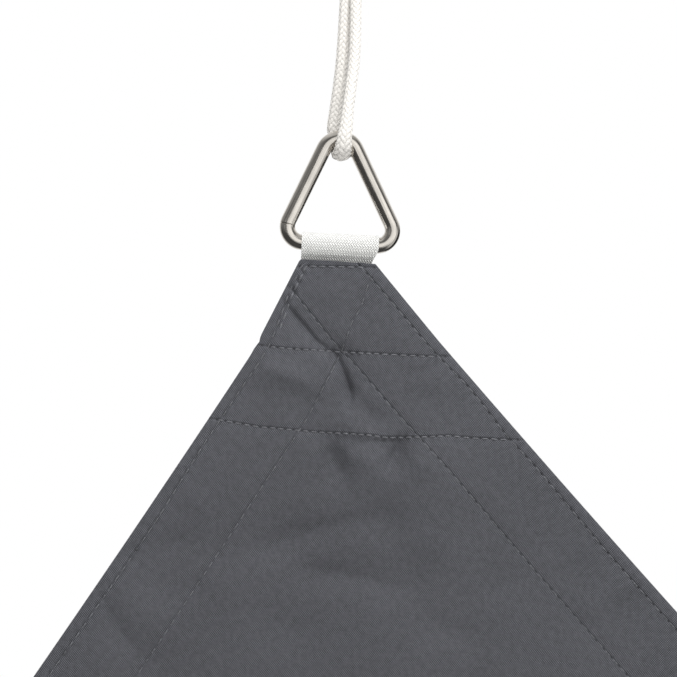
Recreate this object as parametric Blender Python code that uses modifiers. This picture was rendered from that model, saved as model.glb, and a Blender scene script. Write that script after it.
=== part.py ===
"""Square shade sail hung by its top corner: cloth, corner patches, webbing, rings and a doubled rope.

Metres, +Z up. The sail hangs in the XZ plane with its face towards -Y, and the origin is where the
rope's eye bears on what holds it. The corners are top, right, bottom and left, clockwise from the front.
Points of the sail are given as distances right of and below its top corner.
"""

from collections import namedtuple
from math import acos, atan2, cos, exp, pi, radians, sin, sqrt, tan

import bmesh
import bpy
from mathutils import Matrix, Vector

CORNERS = ("top", "right", "bottom", "left")

# Sail
SIDE = 2.0  # from corner to corner
DIAGONAL = SIDE * sqrt(2)
HOLLOW = 0.037  # depth of each edge's curve, as a share of its side
LEAN = radians(3.7)  # the upright diagonal's lower end leans to the right
TOP_CORNER = Vector((-0.0081, -0.1528))  # x and z where the two top edges would meet
FACE_Y = -0.0037  # the cloth's face at its corners, in front of the webbing
CLOTH = 0.0012
HEM = 0.0018  # the turned hem is thicker, towards the back
HEM_WIDTH = 0.033
HEM_STEP = 0.002  # over which the hem's thickness runs out
CUT = 0.0212  # each corner is cut off square, this far down its edges
FLARE_LEFT = 0.0043  # at the cut, each edge stands out of its curve by this much
FLARE_RIGHT = 0.0009
FLARE_END = 0.061

# Soft shape of the hung cloth
BELLY = 0.060  # how far the middle hangs back
SWAY = 0.016  # long waves along the edges
SWAY_REACH = 0.24  # they die out inwards over about this distance
SWAY_START = 0.05  # shares of an edge, from its corners, where its waves begin and are full
SWAY_FULL = 0.30
Sway = namedtuple("Sway", "waves phase")
SWAYS = (  # top to right, right to bottom, bottom to left, left to top
    Sway(3.0, 0.3),
    Sway(3.5, 1.9),
    Sway(3.0, 3.4),
    Sway(4.0, 5.2),
)
RAY = 0.010  # broad folds that spread from each corner
RAY_PEAK = 0.50  # distance from the corner where they are deepest
RAY_START = 0.1  # share of that distance where they begin
RAY_FOLDS = 7.0  # how close they stand at the top corner, one more at each next one
RAY_PHASE = 1.3

# Spacing of the cloth's mesh lines: finest at the top corner, with a coarser start at the others
FINEST = 0.010
FINEST_FAR = 0.030
GROWTH = 0.15
COARSEST = 0.110

# Corner patch, behind the cloth
PATCH = 0.0012
PATCH_LEFT = 0.0960  # where its lower edge ends, down the corner's left and right edges
PATCH_RIGHT = 0.1145
PATCH_INSET = 0.0015
PATCH_RUNS = (14, 11)  # its mesh, across and down
PATCH_RUNS_FAR = (8, 6)
POCKET = 0.0056  # from the cloth's face to the patch, over the webbing's tails
POCKET_FULL = 0.036  # down to this distance below the corner
POCKET_END = 0.054
SEWN = 0.0029  # from the cloth's face to the patch, below the pocket

# Ring: a triangle of bent wire, with the middle of its bar at (0, 0)
WIRE = 0.0061
RING_LEFT = Vector((-0.0241, 0.0012))  # where the wire's middle lines would meet
RING_RIGHT = Vector((0.0241, -0.0012))
RING_TIP = Vector((0.0, 0.0502))
RING_TIP_RADIUS = 0.0069
RING_BASE_RADIUS = 0.0061
RING_STEPS = 7  # runs in each rounded corner
BAR_MIDDLE = Vector((-0.0069, -0.1612))  # x and z of the top ring's bar

# Webbing
WEBBING = 0.0012
WEBBING_WIDTH = 0.0300
WEBBING_FOOT = 0.0277  # it is drawn in at its right where it enters the cloth
WEBBING_BEND = 0.0040  # radius of its middle line round the bar
WEBBING_LEG = 0.0008  # half the distance between the middle lines of its two tails
WEBBING_NECK = 0.0063  # below the bar's middle, where the two tails meet
WEBBING_WAIST = 0.0144  # a mesh line between the neck and the tails' ends
WEBBING_END = 0.0205
WEBBING_STEPS = 10  # runs round the bar

# Rope, with its routes in millimetres
ROPE = 0.0041
TUBE_RESOLUTION = 2
ROPE_ROUTE = (
    (-0.4, -1.3, -54.4),
    (-0.8, -1.5, -66.0),
    (-1.3, -2.2, -87.0),
    (-2.7, -3.5, -99.5),
    (-3.9, -4.8, -108.5),
    (-4.6, -5.6, -115.5),
    (-5.3, -5.6, -120.2),
    (-5.8, -4.0, -124.1),
    (-6.5, 0.0, -125.8),
    (-7.4, 4.0, -124.1),
    (-8.6, 5.6, -120.2),
    (-9.6, 5.6, -115.5),
    (-8.9, 4.9, -108.5),
    (-7.6, 3.7, -99.5),
    (-6.2, 2.5, -87.0),
    (-4.9, 1.7, -66.0),
    (-4.4, 1.4, -54.4),
)
EYE_ROUTE = (
    (-4.4, 0.6, -35.9),
    (-4.5, 0.6, -33.2),
    (-5.6, 0.4, -28.5),
    (-7.4, 0.2, -21.0),
    (-8.1, 0.0, -12.0),
    (-7.2, 0.0, -4.5),
    (-4.2, 0.0, 0.6),
    (0.0, 0.0, 2.05),
    (4.2, 0.0, 0.6),
    (7.2, 0.0, -4.5),
    (7.9, 0.0, -12.0),
    (6.2, -0.2, -21.0),
    (2.2, -0.4, -28.5),
    (0.7, -0.6, -33.2),
    (0.5, -0.6, -35.9),
)
ROUTE_STEPS = 3  # points of the tube for each run of its route

# Knot: a barrel of three turns round the doubled rope
KNOT_X = -0.0021
KNOT_TOP = -0.0362
KNOT_BOTTOM = -0.0541
KNOT_RADIUS = 0.0073
KNOT_GROOVE = 0.0017
KNOT_TURNS = 3
KNOT_FULLNESS = 0.7  # under 1 for turns that are blunter than a sine
KNOT_RUNS = 6  # runs of its profile for each turn
KNOT_STEPS = 18
KNOT_MERGE = 0.00001

SHARP_ANGLE = radians(40)

# Creases near the top corner, as points in millimetres right of and below it. A depth is away from
# the front, so a ridge has a negative one.
Crease = namedtuple("Crease", "points half_width depth")
CREASES = (
    Crease(((-15.0, 38.0), (-7.0, 45.0), (2.0, 51.5)), 5.0, 1.2),
    Crease(((2.0, 55.0), (5.5, 65.0), (6.0, 72.0), (15.0, 77.0)), 5.5, 1.4),
    Crease(((-26.0, 60.0), (-12.0, 57.0), (-4.0, 59.0)), 8.5, -1.3),
    Crease(((-1.5, 83.0), (-1.0, 95.0)), 6.0, 1.0),
    Crease(((1.0, 98.0), (11.0, 109.0), (19.0, 118.0)), 7.5, 1.3),
    Crease(((-28.0, 124.0), (-7.0, 117.0), (-1.0, 106.0)), 8.5, 1.5),
    Crease(((-7.0, 136.0), (28.0, 135.0)), 8.0, 1.2),
    Crease(((-77.0, 129.0), (-46.0, 127.0)), 9.0, 1.2),
    Crease(((-86.5, 157.0), (-73.0, 171.0)), 8.5, 1.2),
    Crease(((36.0, 93.0), (45.0, 105.0), (40.0, 123.0)), 12.0, -1.5),
    Crease(((35.0, 56.0), (48.0, 60.0)), 9.0, -0.8),
    Crease(((102.0, 151.0), (116.0, 142.0)), 6.5, -1.0),
)


# ------------------------------------------------------------------------------- the sail's plan

CORNER_PLAN = (
    Vector((0.0, 0.0)),
    Vector((DIAGONAL / 2, DIAGONAL / 2)),
    Vector((0.0, DIAGONAL)),
    Vector((-DIAGONAL / 2, DIAGONAL / 2)),
)
MIDDLE_PLAN = Vector((0.0, DIAGONAL / 2))


def edge_point(start, end, share, start_flare, end_flare):
    """Point at a share of the way along one hollow edge."""
    along = (end - start).normalized()
    inwards = Vector((-along.y, along.x))
    if (MIDDLE_PLAN - start).dot(inwards) < 0:
        inwards.negate()
    depth = 4 * HOLLOW * SIDE * share * (1 - share)
    for flare, distance in ((start_flare, share * SIDE), (end_flare, (1 - share) * SIDE)):
        depth -= flare * max(0.0, min(distance / CUT, (FLARE_END - distance) / (FLARE_END - CUT)))
    return start + (end - start) * share + inwards * depth


def edge_from_left_flare(start, end, share):
    """An edge that leaves its first corner on that corner's left."""
    return edge_point(CORNER_PLAN[start], CORNER_PLAN[end], share, FLARE_LEFT, FLARE_RIGHT)


def edge_from_right_flare(start, end, share):
    """An edge that leaves its first corner on that corner's right."""
    return edge_point(CORNER_PLAN[start], CORNER_PLAN[end], share, FLARE_RIGHT, FLARE_LEFT)


def plan_point(u, v):
    """Point of the flat sail: u runs from its top corner to the right one, and v to the left one."""
    top, right, bottom, left = CORNER_PLAN
    across = edge_from_right_flare(0, 1, u) * (1 - v) + edge_from_left_flare(3, 2, u) * v
    down = edge_from_left_flare(0, 3, v) * (1 - u) + edge_from_right_flare(1, 2, v) * u
    corners = top * (1 - u) * (1 - v) + right * u * (1 - v) + bottom * u * v + left * (1 - u) * v
    return across + down - corners


def leant(plan):
    """The plan's point as it hangs, right of and below the top corner."""
    return Vector((plan.x * cos(LEAN) + plan.y * sin(LEAN), plan.y * cos(LEAN) - plan.x * sin(LEAN)))


def unleant(point):
    """The plan's point of a hanging one."""
    return Vector((point.x * cos(LEAN) - point.y * sin(LEAN), point.x * sin(LEAN) + point.y * cos(LEAN)))


def at_corner(point, number):
    """The point of another corner that matches this one of the top corner."""
    offset = point - leant(MIDDLE_PLAN)
    for _ in range(number):
        offset = Vector((-offset.y, offset.x))
    return leant(MIDDLE_PLAN) + offset


# ------------------------------------------------------------------------------- the sail's depth


def smooth_step(value, low, high):
    share = max(0.0, min(1.0, (value - low) / (high - low)))
    return share * share * (3 - 2 * share)


def distance_to_line(point, line):
    """Shortest distance from a point to a line of straight runs."""
    distances = []
    for start, end in zip(line, line[1:]):
        run = Vector(end) - Vector(start)
        share = (point - Vector(start)).dot(run) / run.length_squared
        distances.append((point - Vector(start) - run * max(0.0, min(1.0, share))).length)
    return min(distances)


def crease_depth(point):
    """Soft troughs and ridges at the top corner."""
    in_mm = point * 1000
    depth = 0.0
    for crease in CREASES:
        depth += crease.depth * exp(-((distance_to_line(in_mm, crease.points) / crease.half_width) ** 2))
    return depth / 1000


def sway_depth(u, v):
    """Waves along the four edges, each with its own number of them, that die out inwards."""
    depth = 0.0
    places = ((v, u), (1 - u, v), (1 - v, 1 - u), (u, 1 - v))
    for sway, (inward, along) in zip(SWAYS, places):
        fade = exp(-inward * SIDE / SWAY_REACH)
        for from_corner in (along, 1 - along):
            fade *= smooth_step(from_corner, SWAY_START, SWAY_FULL)
        depth += SWAY * fade * sin(2 * pi * sway.waves * along + sway.phase)
    return depth


def ray_depth(plan):
    """Broad folds that fan out from each corner."""
    depth = 0.0
    for number, corner in enumerate(CORNER_PLAN):
        offset = plan - corner
        reach = offset.length / RAY_PEAK
        turn = offset.angle_signed(MIDDLE_PLAN - corner, 0.0)
        swell = smooth_step(reach, RAY_START, 1.0) * exp(1 - max(1.0, reach) ** 2)
        depth += RAY * swell * sin((RAY_FOLDS + number) * turn + RAY_PHASE * number)
    return depth


def face_y(point):
    """Y of the cloth's face at a point right of and below the top corner."""
    plan = unleant(point)
    u = max(0.0, min(1.0, (plan.y + plan.x) / DIAGONAL))
    v = max(0.0, min(1.0, (plan.y - plan.x) / DIAGONAL))
    belly = BELLY * 16 * u * (1 - u) * v * (1 - v)
    return FACE_Y + belly + sway_depth(u, v) + ray_depth(plan) + crease_depth(point)


def in_world(point, y):
    return Vector((TOP_CORNER.x + point.x, y, TOP_CORNER.y - point.y))


def corner_turn(number):
    """Takes a piece of the top corner to another corner, round the sail's middle."""
    centre = Matrix.Translation(in_world(leant(MIDDLE_PLAN), 0.0))
    return centre @ Matrix.Rotation(number * pi / 2, 4, "Y") @ centre.inverted()


# ------------------------------------------------------------------------------- scene and helpers


def clear_scene():
    for obj in list(bpy.data.objects):
        bpy.data.objects.remove(obj, do_unlink=True)


def make_material(name, colour, roughness, metallic=0.0):
    material = bpy.data.materials.new(name)
    material.use_nodes = True
    shader = material.node_tree.nodes["Principled BSDF"]
    shader.inputs["Base Color"].default_value = (*colour, 1.0)
    shader.inputs["Roughness"].default_value = roughness
    shader.inputs["Metallic"].default_value = metallic
    material.diffuse_color = (*colour, 1.0)
    return material


def add_object(name, data, collection, material):
    obj = bpy.data.objects.new(name, data)
    collection.objects.link(obj)
    data.materials.append(material)
    return obj


def add_mesh(bm, name, collection, material):
    mesh = bpy.data.meshes.new(name)
    bm.to_mesh(mesh)
    bm.free()
    mesh.shade_smooth()
    mesh.set_sharp_from_angle(angle=SHARP_ANGLE)
    return add_object(name, mesh, collection, material)


def grid_of(columns, rows, place, weigh=None):
    """Open grid of faces with place(column, row) for its points, and weigh(column, row) for their weights."""
    bm = bmesh.new()
    weights = bm.verts.layers.deform.verify()
    bmesh.ops.create_grid(bm, x_segments=len(columns) - 1, y_segments=len(rows) - 1, size=0.5)
    for vert in bm.verts:
        column = columns[round((vert.co.x + 0.5) * (len(columns) - 1))]
        row = rows[round((vert.co.y + 0.5) * (len(rows) - 1))]
        vert.co = place(column, row)
        if weigh:
            vert[weights][0] = weigh(column, row)
    return bm


def face_forwards(bm):
    """Turns the faces of an open sheet towards -Y."""
    bm.normal_update()
    if sum(face.normal.y * face.calc_area() for face in bm.faces) > 0:
        bmesh.ops.reverse_faces(bm, faces=bm.faces)


def thicken(obj, thickness, offset):
    solidify = obj.modifiers.new("Thickness", "SOLIDIFY")
    solidify.thickness = thickness
    solidify.offset = offset
    return solidify


# ------------------------------------------------------------------------------- cloth and patches


def mesh_lines():
    """Distances along a side where the cloth's mesh lines lie."""
    hem = [0.0, CUT, HEM_WIDTH, HEM_WIDTH + HEM_STEP]
    lines = list(hem)
    while True:
        gone = lines[-1]
        left = SIDE - gone
        spacing = min(COARSEST, max(FINEST, GROWTH * gone), max(FINEST_FAR, GROWTH * 2 * left))
        if left - spacing < hem[-1] + spacing / 2:
            break
        lines.append(gone + spacing)
    return lines + [SIDE - line for line in reversed(hem)]


def make_sail(collection, material):
    lines = mesh_lines()

    def place(column, row):
        point = leant(plan_point(column / SIDE, row / SIDE))
        return in_world(point, face_y(point))

    def weigh(column, row):
        inset = min(column, SIDE - column, row, SIDE - row)
        return 1.0 if inset < HEM_WIDTH + HEM_STEP / 2 else 0.0

    bm = grid_of(lines, lines, place, weigh)
    for tip in [vert for vert in bm.verts if len(vert.link_faces) == 1]:
        kept = [vert for vert in tip.link_faces[0].verts if vert is not tip]
        bm.verts.remove(tip)
        bm.faces.new(kept)
    face_forwards(bm)
    obj = add_mesh(bm, "sail", collection, material)
    obj.vertex_groups.new(name="hem")
    solidify = thicken(obj, HEM, -1.0)
    solidify.vertex_group = "hem"
    solidify.thickness_vertex_group = CLOTH / HEM
    return obj


def make_patch(number, collection, material):
    columns, rows = PATCH_RUNS if number == 0 else PATCH_RUNS_FAR

    def place(column, row):
        left = CUT + PATCH_INSET + (PATCH_LEFT - CUT - PATCH_INSET) * row
        right = CUT + PATCH_INSET + (PATCH_RIGHT - CUT - PATCH_INSET) * row
        left = edge_from_left_flare(0, 3, left / SIDE)
        right = edge_from_right_flare(0, 1, right / SIDE)
        inset = PATCH_INSET / (right - left).length
        plan = left.lerp(right, inset + (1 - 2 * inset) * column)
        point = at_corner(leant(plan), number)
        stand = POCKET + (SEWN - POCKET) * smooth_step(plan.y, POCKET_FULL, POCKET_END)
        return in_world(point, face_y(point) + stand)

    shares = [index / columns for index in range(columns + 1)]
    bm = grid_of(shares, [index / rows for index in range(rows + 1)], place)
    face_forwards(bm)
    obj = add_mesh(bm, f"corner_patch_{CORNERS[number]}", collection, material)
    thicken(obj, PATCH, -1.0)
    return obj


# ------------------------------------------------------------------------------- webbing and rings


def make_webbing(number, collection, material):
    """A strip folded round the ring's bar, drawn through its middle and then given its thickness."""
    neck = Vector((WEBBING_LEG, -WEBBING_NECK))
    leave = atan2(neck.y, neck.x) + acos(WEBBING_BEND / neck.length)
    arc = [leave + (pi - 2 * leave) * step / WEBBING_STEPS for step in range(WEBBING_STEPS + 1)]
    back_tail = [Vector((WEBBING_LEG, -WEBBING_END)), Vector((WEBBING_LEG, -WEBBING_WAIST))]
    front_tail = [Vector((-point.x, point.y)) for point in reversed([*back_tail, neck])]
    round_bar = [Vector((cos(angle), sin(angle))) * WEBBING_BEND for angle in arc]
    path = [*back_tail, neck, *round_bar, *front_tail]

    def place(column, row):
        y, height = path[row]
        drawn_in = (WEBBING_WIDTH - WEBBING_FOOT) * smooth_step(-height, 0.0, WEBBING_NECK)
        width = WEBBING_WIDTH - drawn_in
        return Vector((width * column - WEBBING_WIDTH / 2, y, height))

    bm = grid_of([0.0, 0.5, 1.0], range(len(path)), place)
    bmesh.ops.recalc_face_normals(bm, faces=bm.faces)
    along_bar = RING_RIGHT - RING_LEFT
    tilt = Matrix.Rotation(-atan2(along_bar.y, along_bar.x), 4, "Y")
    obj = add_mesh(bm, f"webbing_{CORNERS[number]}", collection, material)
    thicken(obj, WEBBING, 0.0)
    obj.matrix_world = corner_turn(number) @ bar_place() @ tilt
    return obj


def bar_place():
    return Matrix.Translation(Vector((BAR_MIDDLE.x, 0.0, BAR_MIDDLE.y)))


def rounded_corner(before, corner, after, radius):
    """Points of the arc that rounds one corner of a triangle."""
    to_before = (before - corner).normalized()
    to_after = (after - corner).normalized()
    half = acos(to_before.dot(to_after)) / 2
    centre = corner + (to_before + to_after).normalized() * (radius / sin(half))
    start = corner + to_before * (radius / tan(half)) - centre
    end = corner + to_after * (radius / tan(half)) - centre
    sweep = start.angle(end)
    points = []
    for step in range(RING_STEPS + 1):
        share = step / RING_STEPS
        points.append(centre + (start * sin((1 - share) * sweep) + end * sin(share * sweep)) / sin(sweep))
    return points


def tube(name, points, diameter, closed, collection, material):
    curve = bpy.data.curves.new(name, "CURVE")
    curve.dimensions = "3D"
    curve.bevel_depth = diameter / 2
    curve.bevel_resolution = TUBE_RESOLUTION
    curve.use_fill_caps = not closed
    spline = curve.splines.new("POLY")
    spline.points.add(len(points) - 1)
    for target, point in zip(spline.points, points):
        target.co = (*point, 1.0)
    spline.use_cyclic_u = closed
    spline.use_smooth = True
    return add_object(name, curve, collection, material)


def make_ring(number, collection, material):
    corners = (RING_LEFT, RING_TIP, RING_RIGHT)
    radii = (RING_BASE_RADIUS, RING_TIP_RADIUS, RING_BASE_RADIUS)
    points = []
    for index, radius in enumerate(radii):
        arc = rounded_corner(corners[index - 1], corners[index], corners[(index + 1) % 3], radius)
        points += [Vector((point.x, 0.0, point.y)) for point in arc]
    obj = tube(f"ring_{CORNERS[number]}", points, WIRE, True, collection, material)
    obj.matrix_world = corner_turn(number) @ bar_place()
    return obj


# ------------------------------------------------------------------------------- rope


def smooth_route(route):
    """Points of a smooth curve through those of a route."""
    knots = [Vector(point) / 1000 for point in route]
    padded = [knots[0] * 2 - knots[1], *knots, knots[-1] * 2 - knots[-2]]
    points = []
    for before, start, end, after in zip(padded, padded[1:], padded[2:], padded[3:]):
        for step in range(ROUTE_STEPS):
            t = step / ROUTE_STEPS
            bend = start * 2 + (end - before) * t
            bend += (before * 2 - start * 5 + end * 4 - after) * t**2
            bend += (start * 3 - before - end * 3 + after) * t**3
            points.append(bend / 2)
    return [*points, knots[-1]]


def make_knot(collection, material):
    """A barrel of turns: its profile runs down its outer side."""
    bm = bmesh.new()
    runs = KNOT_TURNS * KNOT_RUNS
    profile = [Vector((0.0, 0.0, KNOT_TOP))]
    for index in range(runs + 1):
        share = index / runs
        swell = abs(sin(pi * KNOT_TURNS * share)) ** KNOT_FULLNESS
        height = KNOT_TOP + (KNOT_BOTTOM - KNOT_TOP) * share
        profile.append(Vector((KNOT_RADIUS - KNOT_GROOVE * (1 - swell), 0.0, height)))
    profile.append(Vector((0.0, 0.0, KNOT_BOTTOM)))
    verts = [bm.verts.new(point) for point in profile]
    for start, end in zip(verts, verts[1:]):
        bm.edges.new((start, end))
    obj = add_mesh(bm, "rope_knot", collection, material)
    screw = obj.modifiers.new("Turned", "SCREW")
    screw.axis = "Z"
    screw.steps = KNOT_STEPS
    screw.render_steps = KNOT_STEPS
    screw.use_merge_vertices = True
    screw.merge_threshold = KNOT_MERGE
    obj.location.x = KNOT_X
    return obj


def main():
    clear_scene()
    collection = bpy.data.collections.new("shade_sail")
    bpy.context.scene.collection.children.link(collection)
    cloth = make_material("anthracite_cloth", (0.090, 0.092, 0.103), 0.85)
    lining = make_material("patch_cloth", (0.080, 0.082, 0.092), 0.88)
    webbing = make_material("white_webbing", (0.80, 0.80, 0.78), 0.75)
    steel = make_material("stainless_steel", (0.62, 0.60, 0.57), 0.25, 1.0)
    rope = make_material("white_rope", (0.80, 0.80, 0.77), 0.70)
    make_sail(collection, cloth)
    for number in range(len(CORNERS)):
        make_patch(number, collection, lining)
        make_webbing(number, collection, webbing)
        make_ring(number, collection, steel)
    tube("rope_fall", smooth_route(ROPE_ROUTE), ROPE, False, collection, rope)
    tube("rope_eye", smooth_route(EYE_ROUTE), ROPE, False, collection, rope)
    make_knot(collection, rope)


main()
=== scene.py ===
"""Dresses the shade sail: cloth with its hems and stitching, corner patches, webbing, rings and rope.

Metres, +Z up. The sail hangs in the XZ plane with its face towards -Y. Its corners are top, right,
bottom and left, clockwise from the front. A place on the sail is (u, v): u is the distance from the edge
between its top and left corners, and v the distance from the edge between its top and right corners.
"""

from contextlib import contextmanager
from math import atan2, cos, pi, radians, sin, sqrt, tan

import bmesh
import bpy
import numpy as np
from mathutils import Matrix, Vector


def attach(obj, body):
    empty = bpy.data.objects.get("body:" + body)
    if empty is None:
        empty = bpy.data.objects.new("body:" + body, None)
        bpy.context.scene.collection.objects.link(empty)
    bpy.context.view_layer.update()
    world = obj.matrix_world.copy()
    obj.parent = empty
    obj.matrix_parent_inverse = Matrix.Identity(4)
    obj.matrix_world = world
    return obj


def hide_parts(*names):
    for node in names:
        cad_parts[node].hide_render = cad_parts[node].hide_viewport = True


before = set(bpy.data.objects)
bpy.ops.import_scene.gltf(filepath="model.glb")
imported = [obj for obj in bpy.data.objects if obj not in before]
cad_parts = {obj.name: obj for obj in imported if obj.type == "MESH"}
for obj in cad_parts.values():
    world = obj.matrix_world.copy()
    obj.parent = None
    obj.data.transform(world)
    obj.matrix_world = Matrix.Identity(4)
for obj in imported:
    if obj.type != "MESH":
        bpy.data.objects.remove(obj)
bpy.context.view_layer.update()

bl_info = {
    "name": "Shade Sail",
    "version": (1, 0, 0),
    "blender": (4, 5, 0),
    "location": "View3D > Sidebar > Shade Sail",
    "description": "Makes the cloth, stitching, webbing, rings and rope of a hanging shade sail",
    "category": "Add Mesh",
}

CORNERS = ("top", "right", "bottom", "left")
MM = 0.001

# ------------------------------------------------------------------------------- the sail's shape

SIDE = 2.0
DIAGONAL = SIDE * sqrt(2)
HALF = DIAGONAL / 2
# Right of and below the top corner, on the sail's own axes
PLAN_CORNERS = tuple(
    np.array(point) for point in ((0.0, 0.0), (HALF, HALF), (0.0, DIAGONAL), (-HALF, HALF))
)
PLAN_MIDDLE = np.array((0.0, HALF))
HOLLOW = 0.037  # depth of each edge's curve, as a share of its side
LEAN = radians(3.7)
TOP_CORNER = np.array((-0.0081, -0.1528))  # x and z where the two top edges would meet
FACE_Y = -0.0037
HEM_WIDTH = 0.033
HEM_STEP = 0.002
CUT = 0.0212  # each corner is cut off square, this far down its edges
FLARE_LEFT = 0.0043
FLARE_RIGHT = 0.0009
FLARE_END = 0.061
BELLY = 0.060
SWAY = 0.016
SWAY_REACH = 0.24
SWAY_START = 0.05
SWAY_FULL = 0.30
SWAYS = ((3.0, 0.3), (3.5, 1.9), (3.0, 3.4), (4.0, 5.2))  # waves and phase of each edge
SLACK = 0.0013  # long shallow waves away from the edges
SLACK_START, SLACK_FULL = 0.05, 0.35
# Each of them: its share, its direction on the sail's plan, its length and its phase
SLACK_WAVES = (
    (1.0, (0.90, 0.45), 0.33, 0.6),
    (0.8, (0.35, -0.95), 0.45, 2.2),
    (0.6, (0.99, 0.10), 0.21, 4.0),
)
RAY = 0.010  # folds that fan out from the corners
RAY_PEAK = 0.50
RAY_START = 0.1
RAY_FOLDS = 7.0
RAY_PHASE = 1.3

# Creases near the top corner: points in millimetres right of and below it, half width on each side, depth.
# The first width is on the left of someone who walks down the page along the crease, and on the lower side
# of one that runs to the right. A depth is away from the front, so a ridge has a negative one.
CREASES = (
    (((-15.0, 38.0), (-7.0, 45.0), (2.0, 51.5)), 5.0, 5.0, 1.2),
    (((2.0, 55.0), (5.5, 65.0), (6.0, 72.0), (15.0, 77.0)), 5.5, 5.5, 1.4),
    (((-26.0, 60.0), (-12.0, 57.0), (-4.0, 59.0)), 8.5, 8.5, -1.3),
    (((-1.5, 83.0), (-1.0, 95.0)), 6.0, 6.0, 1.0),
    (((1.0, 98.0), (11.0, 109.0), (19.0, 118.0)), 7.5, 7.5, 1.3),
    (((-28.0, 124.0), (-7.0, 117.0), (-1.0, 106.0)), 8.5, 8.5, 1.5),
    (((-7.0, 136.0), (28.0, 135.0)), 8.0, 8.0, 1.2),
    (((-77.0, 129.0), (-46.0, 127.0)), 9.0, 9.0, 1.2),
    (((-86.5, 157.0), (-73.0, 171.0)), 8.5, 8.5, 1.2),
    (((36.0, 93.0), (45.0, 105.0), (40.0, 123.0)), 12.0, 12.0, -1.5),
    (((35.0, 56.0), (48.0, 60.0)), 9.0, 9.0, -0.8),
    (((102.0, 151.0), (116.0, 142.0)), 6.5, 6.5, -1.0),
)
# Finer creases, which only the cloth's own surface has
FINE_CREASES = (
    (((-26.0, 23.5), (-16.8, 35.9), (-11.3, 42.4), (-8.2, 46.3), (-2.0, 50.6), (6.0, 55.0)), 2.3, 1.1, 1.35),
    (((-3.6, 47.0), (0.9, 54.8), (3.4, 60.6), (5.0, 66.3), (4.4, 77.0)), 2.6, 1.4, 2.6),
    (((2.0, 56.0), (6.0, 66.0), (10.5, 72.0), (16.5, 76.0), (25.0, 80.0)), 5.5, 2.6, 1.0),
    (((5.0, 62.0), (6.0, 72.0), (15.0, 77.0), (20.0, 79.0)), 5.5, 5.5, -0.9),
    (((0.0, 97.0), (11.0, 109.0), (20.0, 119.0)), 7.5, 7.5, -0.7),
    (((-38.0, 53.5), (-27.0, 56.5), (-16.0, 60.5), (-6.0, 65.5), (0.0, 69.5)), 4.0, 3.2, -1.5),
    (((-35.0, 63.0), (-29.5, 66.5), (-26.0, 72.5)), 2.0, 2.0, 0.45),
    (((-7.0, 89.8), (-1.7, 90.6), (4.0, 89.8)), 6.5, 2.6, 1.0),
    (((-3.4, 80.0), (-2.0, 90.0), (1.5, 104.0)), 2.3, 4.5, 1.5),
    (((15.0, 89.2), (22.0, 90.0), (28.5, 88.4)), 6.0, 2.6, 1.2),
    (((26.0, 78.0), (23.5, 88.0), (18.0, 101.0)), 2.2, 4.5, 2.1),
    (((-6.0, 83.4), (9.0, 84.8), (18.0, 85.3), (34.0, 85.6)), 4.5, 1.0, 1.15),
    (((3.0, 93.5), (10.0, 92.6), (18.0, 93.0)), 6.0, 3.0, -0.6),
    (((27.0, 93.4), (33.0, 94.4), (41.0, 97.5)), 5.0, 3.0, -0.6),
    (((-12.9, 84.9), (-27.0, 105.5), (-41.1, 126.0)), 2.0, 5.0, 0.95),
    (((11.7, 93.5), (24.5, 104.3), (36.3, 117.9)), 7.0, 11.0, -0.7),
    (((-46.0, 133.0), (-12.2, 121.0), (1.1, 117.0), (30.0, 112.0)), 7.0, 3.0, 1.6),
    (((-29.0, 132.0), (-9.5, 135.0), (6.6, 138.0), (25.4, 141.5), (44.0, 144.0)), 6.0, 2.4, 1.15),
    (((-76.3, 124.6), (-79.5, 129.3), (-82.6, 134.0)), 2.0, 1.2, 1.0),
    (((-103.2, 166.8), (-106.7, 169.1), (-110.2, 171.8)), 2.0, 1.2, 1.0),
    (((-73.7, 126.8), (-61.0, 124.0), (-50.1, 122.0)), 4.5, 2.0, 0.7),
    (((-81.6, 138.4), (-66.0, 141.0), (-48.4, 144.1)), 9.0, 5.0, 1.2),
    (((-95.5, 139.3), (-87.8, 151.9), (-80.8, 162.8), (-68.2, 179.7)), 4.0, 1.4, 0.9),
    (((-60.4, 104.3), (-54.4, 108.3), (-48.6, 112.2)), 2.6, 2.6, -1.1),
    (((91.8, 160.1), (107.2, 150.3), (122.9, 140.3)), 4.0, 1.5, 0.8),
    (((26.2, 152.0), (45.0, 158.3), (63.7, 164.8)), 7.0, 3.0, 0.95),
    (((20.7, 60.8), (32.3, 57.5), (45.4, 54.2)), 3.5, 1.3, 0.5),
    (((22.3, 64.0), (33.5, 61.3), (44.6, 58.0)), 3.5, 2.2, -0.5),
    (((78.0, 145.3), (92.7, 133.6), (106.5, 124.9)), 3.0, 1.3, 0.5),
    (((69.3, 129.5), (77.1, 125.0), (86.8, 119.5)), 3.0, 1.3, 0.5),
    (((-9.9, 25.1), (-1.5, 27.5), (7.0, 27.9)), 4.0, 2.6, -0.9),
    (((52.0, 146.0), (66.0, 138.0), (78.0, 134.0)), 7.0, 3.5, 0.5),
    (((-40.0, 150.0), (-20.0, 158.0), (0.0, 160.0)), 9.0, 5.0, 0.8),
    (((44.0, 118.0), (56.0, 108.0), (62.0, 100.0)), 6.0, 3.0, 0.4),
)
# Lines of the sharpest ones, of the doubled row beside the corner and of the dents under the second seam.
# The cloth's mesh is halved twice near them.
SHARP_LINES = (
    ((-22.0, 26.5), (-7.9, 42.3), (0.9, 54.8), (3.4, 60.6), (5.0, 66.3), (5.0, 73.0)),
    ((-13.2, 18.5), (-20.5, 33.5)),
    ((-6.0, 90.0), (4.0, 90.0)),
    ((15.0, 89.6), (28.5, 88.8), (21.0, 95.0)),
)


def turned(u, v, number):
    """The place at another corner that matches (u, v) at the top corner."""
    for _ in range(number):
        u, v = SIDE - v, u
    return u, v


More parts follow.
